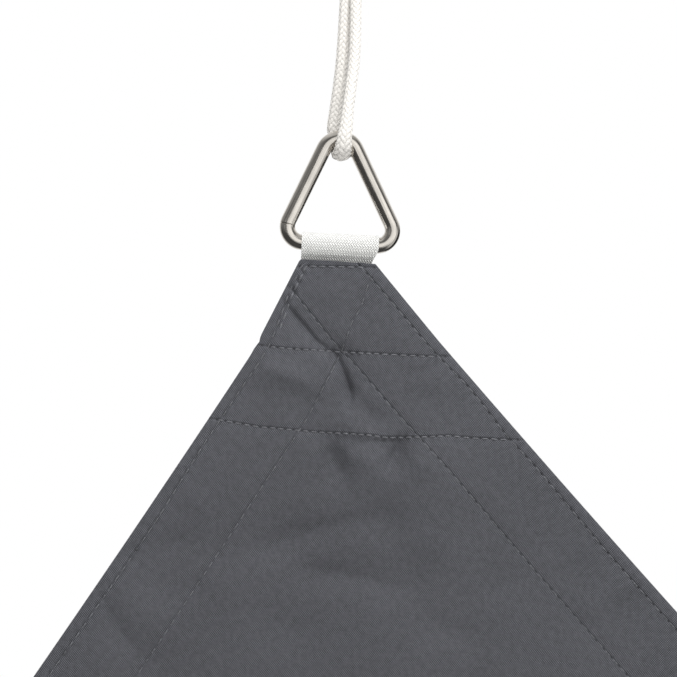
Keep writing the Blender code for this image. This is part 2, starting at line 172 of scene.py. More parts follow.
def turned_back(u, v, number):
    """The place at the top corner that matches (u, v) at another corner."""
    return turned(u, v, -number % 4)


def edge_distance(u, v):
    """Distance from the nearest edge."""
    return np.minimum(np.minimum(u, SIDE - u), np.minimum(v, SIDE - v))


def edge_points(start, end, share, start_flare, end_flare):
    """Points of the plan at shares of the way along one hollow edge, from corner to corner."""
    start, end = PLAN_CORNERS[start], PLAN_CORNERS[end]
    along = (end - start) / SIDE
    inwards = np.array((-along[1], along[0]))
    if (PLAN_MIDDLE - start) @ inwards < 0:
        inwards = -inwards
    depth = 4 * HOLLOW * SIDE * share * (1 - share)
    for flare, distance in ((start_flare, share * SIDE), (end_flare, (1 - share) * SIDE)):
        rise = np.minimum(distance / CUT, (FLARE_END - distance) / (FLARE_END - CUT))
        depth = depth - flare * np.maximum(0.0, rise)
    straight = start + (end - start) * share[..., None]
    return straight + inwards * depth[..., None]


def plan_points(u, v):
    """Right of and below the top corner, on the sail's own axes, for arrays of places."""
    across, down = np.asarray(u, float) / SIDE, np.asarray(v, float) / SIDE
    wide, deep = across[..., None], down[..., None]
    edges = edge_points(0, 1, across, FLARE_RIGHT, FLARE_LEFT) * (1 - deep)
    edges = edges + edge_points(3, 2, across, FLARE_LEFT, FLARE_RIGHT) * deep
    edges = edges + edge_points(0, 3, down, FLARE_LEFT, FLARE_RIGHT) * (1 - wide)
    edges = edges + edge_points(1, 2, down, FLARE_RIGHT, FLARE_LEFT) * wide
    top, right, bottom, left = PLAN_CORNERS
    flat = top * (1 - wide) * (1 - deep) + right * wide * (1 - deep) + bottom * wide * deep
    return edges - flat - left * (1 - wide) * deep


def leant(plan):
    """Points of the plan, turned by the angle at which the sail hangs."""
    x, y = plan[..., 0], plan[..., 1]
    return np.stack((x * cos(LEAN) + y * sin(LEAN), y * cos(LEAN) - x * sin(LEAN)), -1)


def smooth_step(value, low, high):
    """0 below the low value and 1 above the high one, with a smooth rise between them."""
    share = np.clip((value - low) / (high - low), 0.0, 1.0)
    return share * share * (3 - 2 * share)


def distance_to_line(points, line):
    """Distance of each point from a line of runs, below zero on its other side, and share along."""
    nearest, signed, reach = (np.full(points.shape[:-1], np.inf) for _ in range(3))
    passed = 0.0
    for start, end in zip(np.array(line), np.array(line[1:])):
        run = end - start
        share = np.clip((points - start) @ run / (run @ run), 0.0, 1.0)
        gap = points - start - share[..., None] * run
        distance = np.hypot(gap[..., 0], gap[..., 1])
        side = np.sign((points - start) @ np.array((-run[1], run[0])))
        signed = np.where(distance < nearest, distance * side, signed)
        reach = np.where(distance < nearest, passed + share * np.hypot(*run), reach)
        nearest = np.minimum(nearest, distance)
        passed += np.hypot(*run)
    return signed, reach / passed


def crease_depth(points, creases, fade=0.0):
    """Depth of soft creases, which fade out over a share of their length at both ends."""
    in_mm = points / MM
    depth = np.zeros(points.shape[:-1])
    for line, near_width, far_width, crease in creases:
        distance, share = distance_to_line(in_mm, line)
        profile = np.exp(-((distance / np.where(distance > 0, near_width, far_width)) ** 2))
        if fade:
            profile = profile * smooth_step(share, 0.0, fade) * smooth_step(1 - share, 0.0, fade)
        depth += crease * profile
    return depth * MM


def slack_depth(plan):
    """Long shallow waves, which the cloth's own slack adds away from its edges."""
    x, y = plan[..., 0], plan[..., 1]
    waves = sum(
        share * np.sin(2 * pi * (right * x + down * y) / length + phase)
        for share, (right, down), length, phase in SLACK_WAVES
    )
    inset = edge_distance((y + x) / sqrt(2), (y - x) / sqrt(2))
    return SLACK * waves * smooth_step(inset, SLACK_START, SLACK_FULL)


def broad_depth(plan):
    """Belly, waves along the edges and folds that fan out from the corners."""
    u = np.clip((plan[..., 1] + plan[..., 0]) / DIAGONAL, 0.0, 1.0)
    v = np.clip((plan[..., 1] - plan[..., 0]) / DIAGONAL, 0.0, 1.0)
    depth = BELLY * 16 * u * (1 - u) * v * (1 - v)
    places = ((v, u), (1 - u, v), (1 - v, 1 - u), (u, 1 - v))
    for (waves, phase), (inward, along) in zip(SWAYS, places):
        fade = np.exp(-inward * SIDE / SWAY_REACH)
        for from_corner in (along, 1 - along):
            fade = fade * smooth_step(from_corner, SWAY_START, SWAY_FULL)
        depth = depth + SWAY * fade * np.sin(2 * pi * waves * along + phase)
    for number, corner in enumerate(PLAN_CORNERS):
        offset, to_middle = plan - corner, PLAN_MIDDLE - corner
        reach = np.hypot(offset[..., 0], offset[..., 1]) / RAY_PEAK
        cross = offset[..., 1] * to_middle[0] - offset[..., 0] * to_middle[1]
        turn = np.arctan2(cross, offset @ to_middle)
        swell = smooth_step(reach, RAY_START, 1.0) * np.exp(1 - np.maximum(1.0, reach) ** 2)
        depth = depth + RAY * swell * np.sin((RAY_FOLDS + number) * turn + RAY_PHASE * number)
    return depth


# ------------------------------------------------------------------------------- rows of stitches

HEM_PITCH = 0.00445  # from one needle hole to the next
SEAM_PITCH = 0.00377
OUTER_ROW = 0.005  # where the two rows of a hem lie away from the corners
INNER_ROW = 0.0325
TOP_ROW = 0.0169  # across a corner's cut, measured down the middle from the corner
SEAM_ROWS = (0.046, 0.075)  # nominal places of the two seams on the cloth's own scale
BACKSTITCH_START = 0.0195  # a second row beside each corner's left edge starts here
BACKSTITCH_HOLES = 8
BACKSTITCH_ASIDE = 0.0016
# Distance from the edge against distance from the corner, in millimetres, on a corner's right and left
RIGHT_OUTER = ((18, 5.1), (42, 4.5), (62, 4.2), (80, 3.0), (90, 3.2), (104, 4.3), (122, 3.7), (166, 5.0))
LEFT_OUTER = ((18, 2.0), (32, 2.2), (41, 3.6), (52, 5.1), (66, 4.3), (100, 4.2), (134, 5.5), (200, 5.0))
RIGHT_INNER = ((5, 31.3), (25, 32.8), (41, 31.8), (97, 30.7), (150, 31.7), (240, 32.5))
LEFT_INNER = ((6, 24.7), (16, 30.1), (23, 31.4), (34, 33.0), (100, 33.3), (180, 34.4), (260, 32.5))
# The two seams of a corner patch, as places (u, v) in millimetres
SEAMS = (
    ((-2, 58), (5.1, 53.4), (17.1, 45.0), (31.6, 33.8), (46.9, 21.7), (60.9, 7.7), (69, -1)),
    ((-1, 91), (4.8, 87.0), (19.1, 77.8), (51.2, 52.2), (62.0, 43.9), (65.3, 42.0), (77.7, 31.3),
     (95.8, 15.1), (111, 0)),
)  # fmt: skip


def inset_of(along, right, left):
    """Distance of a hem's row from its edge, which starts at one corner's right."""
    from_right = np.interp(along / MM, *np.array(right).T)
    from_left = np.interp((SIDE - along) / MM, *np.array(left).T)
    return np.where(along < SIDE / 2, from_right, from_left) * MM


def on_row_scale(inset, along):
    """The inset, stretched so that a hem's rows lie at OUTER_ROW and INNER_ROW all the way."""
    outer = inset_of(along, RIGHT_OUTER, LEFT_OUTER)
    inner = inset_of(along, RIGHT_INNER, LEFT_INNER)
    low = inset * OUTER_ROW / outer
    middle = OUTER_ROW + (inset - outer) * (INNER_ROW - OUTER_ROW) / (inner - outer)
    high = INNER_ROW + inset - inner
    return np.where(inset < outer, low, np.where(inset < inner, middle, high))


def seam_drop(aside, number):
    """How far down the middle from the corner a seam lies, at a distance aside of the middle."""
    table = np.array(SEAMS[number]) * MM
    sides, drops = (table[:, 0] - table[:, 1]) / sqrt(2), (table[:, 0] + table[:, 1]) / sqrt(2)
    return np.interp(aside, sides, drops)


def corner_scale(u, v):
    """For the nearest corner: distance aside of its middle, and down it so that its rows lie level."""
    places = [turned_back(u, v, number) for number in range(len(CORNERS))]
    asides = np.array([(local_u - local_v) / sqrt(2) for local_u, local_v in places])
    drops = np.array([(local_u + local_v) / sqrt(2) for local_u, local_v in places])
    aside = np.take_along_axis(asides, np.argmin(drops, axis=0)[None], axis=0)[0]
    drop = np.min(drops, axis=0)
    first, second = seam_drop(aside, 0), seam_drop(aside, 1)
    marks = (np.zeros_like(first), np.full_like(first, TOP_ROW), first, second)
    rows = (0.0, TOP_ROW, *SEAM_ROWS)
    level = SEAM_ROWS[1] + drop - second
    for start, end, row, next_row in zip(marks, marks[1:], rows, rows[1:]):
        run = row + (drop - start) / (end - start) * (next_row - row)
        level = np.where((drop >= start) & (drop < end), run, level)
    return aside, level


def row_gaps(u, v):
    """How deep every kind of row lies, and the distance of each place from it."""
    gaps = []
    for across, along in ((u, SIDE - v), (v, u), (SIDE - u, v), (SIDE - v, SIDE - u)):
        inset = on_row_scale(across, along)
        gaps += [(ROW_TROUGH, np.abs(inset - OUTER_ROW)), (INNER_TROUGH, np.abs(inset - INNER_ROW))]
    level = corner_scale(u, v)[1]
    gaps += [(ROW_TROUGH, np.abs(level - row)) for row in (TOP_ROW, *SEAM_ROWS)]
    return gaps


# ------------------------------------------------------------------------------- the cloth's face

ROW_TROUGH = 0.00030  # the thread draws the cloth in along a row
INNER_TROUGH = 0.00018
ROW_TROUGH_WIDTH = 0.0021
CREASE_FADE = 0.4
PUCKER = 0.00022  # small waves across a row
PUCKER_WIDTH = 0.0065
# Those waves: share, then length and phase along u and along v
PUCKER_WAVES = ((0.5, (0.0173, 1.7), (0.0151, 0.4)), (0.35, (0.0093, 0.0), (0.0107, 2.1)))
DRIFT, DRIFT_LENGTH, DRIFT_SLANT = 0.35, 0.061, 0.7  # they swell and fade over this length
FOLD_ROUND = 0.0009  # the hem's fold rounds its edge off
FOLD_ROUND_WIDTH = 0.0030
BUNCH = 0.00034  # the doubled row beside each corner's left edge bunches the cloth up
BUNCH_INSET = 0.0037
BUNCH_WIDTH = 0.0014
BUNCH_END = 0.037
BUNCH_RISE, BUNCH_FALL = 0.004, 0.006  # how far it takes to start and to end
NICK = 0.0007  # the left edge is nicked where the first seam ends
NICK_PLACE = 0.0555
NICK_HALF_WIDTH = 0.0016
NICK_REACH = 0.002
NORMAL_STEP = 0.0004


def pucker_wave(u, v):
    """Uneven waves along the rows."""
    waves = sum(
        share * (np.sin(u * 2 * pi / long_u + phase_u) + np.sin(v * 2 * pi / long_v + phase_v))
        for share, (long_u, phase_u), (long_v, phase_v) in PUCKER_WAVES
    )
    drift = np.sin((u + DRIFT_SLANT * v) * 2 * pi / DRIFT_LENGTH)
    return waves * (1 - DRIFT + DRIFT * drift)


def bunched(u, v):
    """Depth of the bunched cloth beside each corner's left edge."""
    depth = np.zeros(np.shape(u))
    for number in range(len(CORNERS)):
        inset, along = turned_back(u, v, number)
        window = smooth_step(along, CUT - BUNCH_RISE, CUT)
        window = window * smooth_step(-along, -BUNCH_END, BUNCH_FALL - BUNCH_END)
        wave = np.cos((along - BACKSTITCH_START) * 2 * pi / SEAM_PITCH)
        depth = depth + BUNCH * wave * window * np.exp(-(((inset - BUNCH_INSET) / BUNCH_WIDTH) ** 2))
    return depth


def cloth_face(u, v):
    """World points of the cloth's face for arrays of places."""
    plan = plan_points(u, v)
    point = leant(plan)
    nick = NICK * np.exp(-(((v - NICK_PLACE) / NICK_HALF_WIDTH) ** 2)) * np.exp(-u / NICK_REACH)
    depth = broad_depth(plan) + slack_depth(plan)
    depth = depth + crease_depth(point, CREASES) + crease_depth(point, FINE_CREASES, CREASE_FADE)
    nearest = np.full(np.shape(u), np.inf)
    for trough, gap in row_gaps(u, v):
        depth = depth + trough * np.exp(-((gap / ROW_TROUGH_WIDTH) ** 2))
        nearest = np.minimum(nearest, gap)
    beside_row = np.exp(-((nearest / PUCKER_WIDTH) ** 2))
    depth = depth + PUCKER * pucker_wave(u, v) * beside_row + bunched(u, v)
    depth = depth + FOLD_ROUND * np.maximum(0.0, 1 - edge_distance(u, v) / FOLD_ROUND_WIDTH) ** 2
    x = TOP_CORNER[0] + point[..., 0] + nick
    return np.stack((x, FACE_Y + depth, TOP_CORNER[1] - point[..., 1]), -1)


def face_normals(u, v):
    """Unit normals of the cloth's face, towards the front."""
    over = cloth_face(u + NORMAL_STEP, v) - cloth_face(u - NORMAL_STEP, v)
    down = cloth_face(u, v + NORMAL_STEP) - cloth_face(u, v - NORMAL_STEP)
    normal = np.cross(over, down)
    normal = normal / np.linalg.norm(normal, axis=-1, keepdims=True)
    return np.where(normal[..., 1:2] > 0, -normal, normal)


def corner_turn(number):
    """Takes a piece of the top corner to another corner, round the sail's middle."""
    middle = leant(PLAN_MIDDLE)
    centre = Matrix.Translation((TOP_CORNER[0] + middle[0], 0.0, TOP_CORNER[1] - middle[1]))
    return centre @ Matrix.Rotation(number * pi / 2, 4, "Y") @ centre.inverted()


# ------------------------------------------------------------------------------- meshes and pieces


def deselect_all():
    bpy.ops.object.select_all(action="DESELECT")


def make_active(obj):
    deselect_all()
    obj.select_set(True)
    bpy.context.view_layer.objects.active = obj


@contextmanager
def edited(mesh):
    """The mesh as a bmesh, which is written back to it in the end."""
    bm = bmesh.new()
    bm.from_mesh(mesh)
    yield bm
    bm.to_mesh(mesh)
    bm.free()


def grid_mesh(name, points):
    """A mesh from a two-way array of points, open at its borders."""
    rows, columns = points.shape[:2]
    index = np.arange(rows * columns).reshape(rows, columns)
    corners = (index[:-1, :-1], index[:-1, 1:], index[1:, 1:], index[1:, :-1])
    faces = np.stack([corner.ravel() for corner in corners], -1)
    mesh = bpy.data.meshes.new(name)
    mesh.from_pydata(points.reshape(-1, 3).tolist(), [], faces.tolist())
    return mesh


def add_object(name, mesh):
    obj = bpy.data.objects.new(name, mesh)
    bpy.context.scene.collection.objects.link(obj)
    return obj


def set_attribute(mesh, name, *parts):
    """Up to three values at each point, which a material reads as one vector."""
    columns = [np.ravel(part) for part in parts]
    columns += [np.zeros(len(columns[0]))] * (3 - len(columns))
    layer = mesh.attributes.new(name, "FLOAT_VECTOR", "POINT")
    layer.data.foreach_set("vector", np.stack(columns, -1).astype(np.float32).ravel())


def thicken(obj, thickness, offset, group="", thin_share=0.0):
    """Gives an open sheet its thickness, and only a share of it outside the group."""
    modifier = obj.modifiers.new("Thickness", "SOLIDIFY")
    modifier.thickness = thickness
    modifier.offset = offset
    modifier.vertex_group = group
    modifier.thickness_vertex_group = thin_share
    make_active(obj)
    bpy.ops.object.modifier_apply(modifier=modifier.name)


def turn_forwards(mesh):
    """Turns the faces of an open sheet towards -Y."""
    mesh.update()
    if sum(face.normal.y * face.area for face in mesh.polygons) > 0:
        mesh.flip_normals()


# Edges sharper than this stay sharp
ROPE_SHARP, WIRE_SHARP, WEBBING_SHARP, CLOTH_SHARP = radians(75), radians(60), radians(50), radians(55)
MERGED = 1e-5  # points closer than this become one


def smooth(obj, angle):
    make_active(obj)
    bpy.ops.object.shade_smooth_by_angle(angle=angle)


def reached_along(points):
    """Distance of each point from the first one, along the line through them."""
    return np.concatenate(([0.0], np.cumsum(np.linalg.norm(np.diff(points, axis=0), axis=1))))


def even_points(dense, spacing):
    """Evenly spaced points on the line through close ones."""
    reached = reached_along(dense)
    wanted = np.linspace(0.0, reached[-1], max(2, round(reached[-1] / spacing)) + 1)
    return np.stack([np.interp(wanted, reached, dense[:, axis]) for axis in range(3)], -1)


def finish_piece(obj, material, slot, *nodes):
    """The piece takes its finish, rides on the sail and stands for its nodes of the frame."""
    obj.data.materials.clear()
    obj.data.materials.append(material)
    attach(obj, "root")
    if nodes:
        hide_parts(*nodes)
    return obj


# ------------------------------------------------------------------------------- shader helpers

FLOAT, VECTOR = "NodeSocketFloat", "NodeSocketVector"


class Value:
    """What a node puts out, as something to calculate with."""

    def __init__(self, socket):
        self.socket = socket
        self.tree = socket.id_data

    def __add__(self, other):
        return maths("ADD", self, other)

    def __sub__(self, other):
        return maths("SUBTRACT", self, other)

    def __rsub__(self, other):
        return maths("SUBTRACT", other, self)

    def __mul__(self, other):
        return maths("MULTIPLY", self, other)

    def __truediv__(self, other):
        return maths("DIVIDE", self, other)

    def __pow__(self, other):
        return maths("POWER", self, other)

    def __abs__(self):
        return maths("ABSOLUTE", self)


def output(node, name=0):
    return Value(node.outputs[name])


def outputs_of(node):
    return {socket.name: Value(socket) for socket in node.outputs}


def put(socket, value):
    """Links or sets one input."""
    if isinstance(value, Value):
        value.tree.links.new(value.socket, socket)
    elif value is not None:
        socket.default_value = value


def put_all(node, values):
    """Links or sets inputs by their names or numbers."""
    for name, value in values.items():
        put(node.inputs[name], value)


def new_node(tree, kind, inputs=(), **settings):
    node = tree.nodes.new("ShaderNode" + kind)
    for name, value in settings.items():
        setattr(node, name, value)
    put_all(node, dict(inputs))
    return node


def maths(operation, *values):
    tree = next(value.tree for value in values if isinstance(value, Value))
    return output(new_node(tree, "Math", enumerate(values), operation=operation))


def ranged(value, low, high, to_low=0.0, to_high=1.0, kind="SMOOTHSTEP"):
    inputs = enumerate((value, low, high, to_low, to_high))
    return output(new_node(value.tree, "MapRange", inputs, interpolation_type=kind))


def noise(place, scale, detail=2.0, roughness=0.5):
    inputs = {"Vector": place, "Scale": scale, "Detail": detail, "Roughness": roughness}
    return output(new_node(place.tree, "TexNoise", inputs), "Fac")


def parts_of(vector):
    return [Value(socket) for socket in new_node(vector.tree, "SeparateXYZ", {0: vector}).outputs]


def attribute(tree, name):
    return output(new_node(tree, "Attribute", attribute_name=name), "Vector")


def object_place(tree):
    return output(new_node(tree, "TexCoord"), "Object")


def stretched(vector, scale):
    return output(new_node(vector.tree, "Mapping", {"Vector": vector, "Scale": scale}))


def mix_values(share, first, second):
    return output(new_node(share.tree, "Mix", {0: share, 2: first, 3: second}))


def mix_colours(share, first, second):
    return output(new_node(share.tree, "Mix", {0: share, 6: first, 7: second}, data_type="RGBA"), 2)


def scaled(colour, factor):
    return (*(channel * factor for channel in colour[:3]), 1.0)


def toned(share, low, high, colour, tones, kind="SMOOTHSTEP"):
    """The colour, from its darkest tone at the low value to its lightest one at the high value."""
    dark, light = (scaled(colour, tone) for tone in tones)
    return mix_colours(ranged(share, low, high, kind=kind), dark, light)


def bump(height, distance, strength=1.0, normal=None):
    inputs = {"Height": height, "Distance": distance, "Strength": strength, "Normal": normal}
    return output(new_node(height.tree, "Bump", inputs))


def new_material(name):
    material = bpy.data.materials.new(name)
    material.use_nodes = True
    return material, material.node_tree, material.node_tree.nodes["Principled BSDF"]


def new_group(name, inputs, outputs):
    """Makes a shader node group: what comes in, by name, and the sockets of what goes out."""
    group = bpy.data.node_groups.new(name, "ShaderNodeTree")
    for title, kind, default in inputs:
        socket = group.interface.new_socket(name=title, in_out="INPUT", socket_type=kind)
        if default is not None:
            socket.default_value = default
    for title in outputs:
        group.interface.new_socket(name=title, in_out="OUTPUT", socket_type=FLOAT)
    entry, leave = group.nodes.new("NodeGroupInput"), group.nodes.new("NodeGroupOutput")
    return outputs_of(entry), leave.inputs


def use_group(tree, name, **inputs):
    """What the named group puts out. It is built at its first use."""
    if name not in bpy.data.node_groups:
        GROUPS[name](name)
    titled = {title.capitalize(): value for title, value in inputs.items()}
    return outputs_of(new_node(tree, "Group", titled, node_tree=bpy.data.node_groups[name]))


# Noises: how many of their marks go to a metre, and their share
THREAD_WANDERS, WANDER_SHARE = 900.0, 0.25  # in threads, sideways
# The last is the share of painted shade that the weave's height puts into the colour, darker in the gaps
# between the threads
FIBRES, FIBRE_SHARE, WEAVE_SHADE_SHARE = 420.0, 0.35, 0.75
ROUGH_NOISE = 0.6
# Title, marks to a metre, detail and roughness
GRAINS = (("Blotch", 18.0, 3.0, 0.55), ("Speck", 1500.0, 2.0, ROUGH_NOISE))
WEAVE_ROUND = 1.1  # above 1, the threads' tops are narrower than half waves


def weave_group(name):
    """Plain weave: threads of two sets pass over and under each other, with painted shade where they lie
    low. Place is in metres.
    """
    inputs = (("Place", VECTOR, None), ("Thread", FLOAT, 0.0004))
    entry, leave = new_group(name, inputs, ("Height", "Shade"))
    wander = noise(entry["Place"], THREAD_WANDERS, 1.0) * WANDER_SHARE
    over, under = (
        abs(maths("SINE", (wander + value / entry["Thread"]) * pi))
        for value in parts_of(entry["Place"])[:2]
    )
    height = (over * under) ** WEAVE_ROUND
    put(leave["Height"], height)
    fibres = noise(entry["Place"], FIBRES, 3.0, ROUGH_NOISE)
    # Shade: random fibre tone, plus painted shade that darkens the cloth where its threads lie low
    put(leave["Shade"], fibres * FIBRE_SHARE + height * WEAVE_SHADE_SHARE)


TROUGH_WIDTH = 0.0009  # of the furrow that a row draws into the cloth
HOLE_START, HOLE_END = 0.00052, 0.00012  # distances over which a needle hole's dent and its painted shade fade in
RIPPLE_WIDTH = 0.0032
TROUGH_SHARE, RIPPLE_SHARE, HOLE_SHARE = -0.55, -0.22, -0.5  # of the row's relief


def row_group(name):
    """A row of stitches on cloth: how deep it draws the cloth in, and where the needle went through."""
    titles = (("Across", 0.0), ("Row", OUTER_ROW), ("Along", 0.0), ("Pitch", HEM_PITCH))
    inputs = [(title, FLOAT, default) for title, default in titles]
    entry, leave = new_group(name, inputs, ("Height", "Hole"))
    gap = abs(entry["Across"] - entry["Row"])
    turns = entry["Along"] / entry["Pitch"]
    from_hole = maths("PINGPONG", turns, 0.5) * entry["Pitch"]
    hole = ranged(maths("SQRT", gap**2.0 + from_hole**2.0), HOLE_END, HOLE_START, 1.0, 0.0)
    ripple = maths("COSINE", turns * (2 * pi)) * ranged(gap, 0.0, RIPPLE_WIDTH, 1.0, 0.0)
    trough = ranged(gap, 0.0, TROUGH_WIDTH, 1.0, 0.0)
    put(leave["Height"], hole * HOLE_SHARE + trough * TROUGH_SHARE + ripple * RIPPLE_SHARE)
    # Hole also sets where painted shade darkens the cloth's colour
    put(leave["Hole"], hole)


def grain_group(name):
    """Uneven tone at two scales: blotches and specks. Place is in metres."""
    inputs = (("Place", VECTOR, None), ("Blotch", FLOAT, 1.0), ("Speck", FLOAT, 1.0))
    entry, leave = new_group(name, inputs, ("Tone",))
    tone = 0.5
    for title, scale, detail, roughness in GRAINS:
        tone = (noise(entry["Place"], scale, detail, roughness) - 0.5) * entry[title] + tone
    put(leave["Tone"], tone)


GROUPS = {"plain_weave": weave_group, "stitch_row": row_group, "uneven_tone": grain_group}


# ------------------------------------------------------------------------------- materials

# Darkest and lightest tone of each material, as shares of its colour; on cloth, webbing and rope the range
# also spans painted shade in their hollows
CLOTH_TONES = (0.12, 2.1)
# Painted shade in the needle holes, as a share of the cloth's colour
HOLE_PAINTED_SHADE = 0.2
THREAD_TONES = (0.6, 1.35)
WEBBING_TONES = (0.2, 1.0)
STEEL_TONES = (0.80, 1.10)
ROPE_TONES = (0.66, 1.0)
# Roughness of each material, from where its tone is dark to where it is light
CLOTH_ROUGHNESS = (0.66, 0.78)
WEBBING_ROUGHNESS = (0.62, 0.8)
STEEL_ROUGHNESS = (0.07, 0.16)
ROPE_ROUGHNESS = (0.55, 0.75)
TONE_RANGE = (0.2, 0.8)  # where most of an uneven tone lies
NOISE_RANGE = (0.35, 0.65)  # and where most of a noise lies
STEEL_RANGE = (0.3, 0.7)
# How strongly the painted shade of the needle holes shows
HOLE_SHADE_SHARE = 0.6
THREAD_FIBRES, THREAD_RELIEF = 2600.0, 0.0001
ROPE_FIBRES, FIBRE_RELIEF = 4200.0, 0.00012
DULL_SPOTS, SPOT_SHARE = 130.0, 0.35
RIB_ROUND, RIB_END = 1.7, 0.18  # how narrow a rib's top is, and how blunt its ends are
# Strength of each kind of row on the cloth
OUTER_STRENGTH, INNER_STRENGTH, SEAM_STRENGTH = 1.0, 0.8, 0.9
RIB_SLANT = 0.85  # in ribs, from the lower to the upper side of a row
FOOT_PAINTED_SHADE = -0.9  # towards its foot, painted shade darkens the webbing between its ribs
FOOT_GATHER = 1.4  # and its ribs stand out more
SCRATCHES, DRAWN_LINES = (2600.0, 260.0, 1.0), (60.0, 2600.0, 1.0)  # how many to a metre of wire


def uneven_roughness(tone, limits):
    return ranged(tone, *TONE_RANGE, *limits, "LINEAR")


def cloth_material(name, settings, with_rows):
    """Anthracite sailcloth: plain weave with painted shade between its threads, uneven tone and, on the
    sail, its rows of stitches with painted shade in their needle holes.
    """
    material, tree, shader = new_material(name)
    place = attribute(tree, "plan")
    weave = use_group(tree, "plain_weave", place=place, thread=settings.thread_width)
    tone = use_group(tree, "uneven_tone", place=place, blotch=0.55, speck=0.35)["Tone"]
    # The colour holds the weave's painted shade and the cloth's random uneven tone
    colour = toned(weave["Shade"] * 0.8 + tone * 0.3, 0.2, 0.85, settings.colour, CLOTH_TONES, "LINEAR")
    normal = bump(weave["Height"], settings.weave_relief)
    if with_rows:
        normal, colour = rows_of_stitches(tree, settings, colour, normal)
    finish = {
        "Base Color": colour,
        "Normal": normal,
        "Roughness": uneven_roughness(tone, CLOTH_ROUGHNESS),
        "Specular IOR Level": 0.32,
        "Sheen Weight": 0.06,
        "Sheen Roughness": 0.5,
    }
    put_all(shader, finish)
    return material


def rows_of_stitches(tree, settings, colour, normal):
    """Adds every row's trough and needle holes to the cloth's normal, and painted shade in the needle holes
    to its colour.
    """
    rows_u, rows_v, _ = parts_of(attribute(tree, "rows"))
    aside, level, _ = parts_of(attribute(tree, "seams"))
    plan_u, plan_v, _ = parts_of(attribute(tree, "plan"))
    placed = []
    for across, along in ((rows_u, plan_v), (rows_v, plan_u)):
        placed.append((across, OUTER_ROW, along, HEM_PITCH, OUTER_STRENGTH))
        placed.append((across, INNER_ROW, along, HEM_PITCH, INNER_STRENGTH))
    placed += [(level, row, aside, SEAM_PITCH, SEAM_STRENGTH) for row in (TOP_ROW, *SEAM_ROWS)]
    total, holes = 0.0, 0.0
    for across, row, along, pitch, strength in placed:
        outputs = use_group(tree, "stitch_row", across=across, row=row, along=along, pitch=pitch)
        total = outputs["Height"] * strength + total
        holes = maths("MAXIMUM", outputs["Hole"] * strength, holes)
    normal = bump(total, settings.row_relief, normal=normal)
    # Painted shade: the cloth's colour is darkened in the needle holes
    return normal, mix_colours(holes * HOLE_SHADE_SHARE, colour, scaled(settings.colour, HOLE_PAINTED_SHADE))


def thread_material(settings):
    """Sewing thread: a little glossier than the cloth."""
    material, tree, shader = new_material("sewing_thread")
    tone = noise(object_place(tree), THREAD_FIBRES, 1.0)
    finish = {
        "Base Color": toned(tone, *NOISE_RANGE, settings.thread_colour, THREAD_TONES),
        "Normal": bump(tone, THREAD_RELIEF, 0.6),
        "Roughness": 0.42,
        "Specular IOR Level": 0.6,
    }
    put_all(shader, finish)
    return material


def webbing_material(settings):
    """White webbing: rows of short slanted ribs that lean the other way in each next row, with painted shade
    between them.
    """
    material, tree, shader = new_material("white_webbing")
    across, along, foot = parts_of(attribute(tree, "strip"))
    row = along / settings.rib_height
    which = maths("FLOOR", row)
    within = row - which
    odd = maths("PINGPONG", which, 1.0) * 2.0 - 1.0
    turns = which * 0.5 + ((within - 0.5) * odd * RIB_SLANT + across / settings.rib_width)
    rib = abs(maths("SINE", turns * pi)) ** RIB_ROUND
    height = rib * maths("SINE", within * pi) ** RIB_END
    tone = use_group(tree, "uneven_tone", place=object_place(tree), blotch=0.4, speck=0.5)["Tone"]
    # Painted shade: the colour is darker where the ribs lie low, and darker still towards the foot, where
    # the webbing goes in under the cloth
    share = height * 0.85 + (tone * 0.3 + (1.0 - height) * (foot * FOOT_PAINTED_SHADE))
    finish = {
        "Base Color": toned(share, -0.65, 0.85, settings.webbing_colour, WEBBING_TONES, "LINEAR"),
        "Normal": bump(height * (foot * FOOT_GATHER + 1.0), settings.rib_relief),
        "Roughness": uneven_roughness(tone, WEBBING_ROUGHNESS),
        "Sheen Weight": 0.15,
    }
    put_all(shader, finish)
    return material


def steel_material(settings):
    """Stainless wire: faint scratches across it, drawn lines along it, and duller spots."""
    material, tree, shader = new_material("stainless_wire")
    wire = attribute(tree, "wire")
    across, drawn = (
        noise(stretched(wire, counts), 1.0, 2.0, ROUGH_NOISE) for counts in (SCRATCHES, DRAWN_LINES)
    )
    spots = noise(object_place(tree), DULL_SPOTS, 3.0, ROUGH_NOISE)
    tone = spots * SPOT_SHARE + drawn * (1.0 - SPOT_SHARE)
    finish = {
        "Base Color": toned(tone, *NOISE_RANGE, settings.steel_colour, STEEL_TONES),
        "Normal": bump(across * 0.5 + drawn * 0.8, settings.scratch_relief, 0.5),
        "Roughness": ranged(tone, *STEEL_RANGE, *STEEL_ROUGHNESS),
        "Metallic": 1.0,
    }
    put_all(shader, finish)
    return material


def rope_material(settings):
    """White braid: painted shade darkens it between its strands, with fine fibres."""
    material, tree, shader = new_material("white_braid")
    lay = parts_of(attribute(tree, "braid"))[0]
    place = object_place(tree)
    tone = use_group(tree, "uneven_tone", place=place, blotch=0.35, speck=0.4)["Tone"]
    # Painted shade: the colour is darker where the braid's surface lies low between strands
    finish = {
        "Base Color": toned(lay * 0.9 + tone * 0.25, 0.15, 0.8, settings.colour, ROPE_TONES),
        "Normal": bump(noise(place, ROPE_FIBRES, 2.0, ROUGH_NOISE), FIBRE_RELIEF, 0.5),
        "Roughness": uneven_roughness(tone, ROPE_ROUGHNESS),
        "Sheen Weight": 0.2,
    }
    put_all(shader, finish)
    return material


# ------------------------------------------------------------------------------- settings


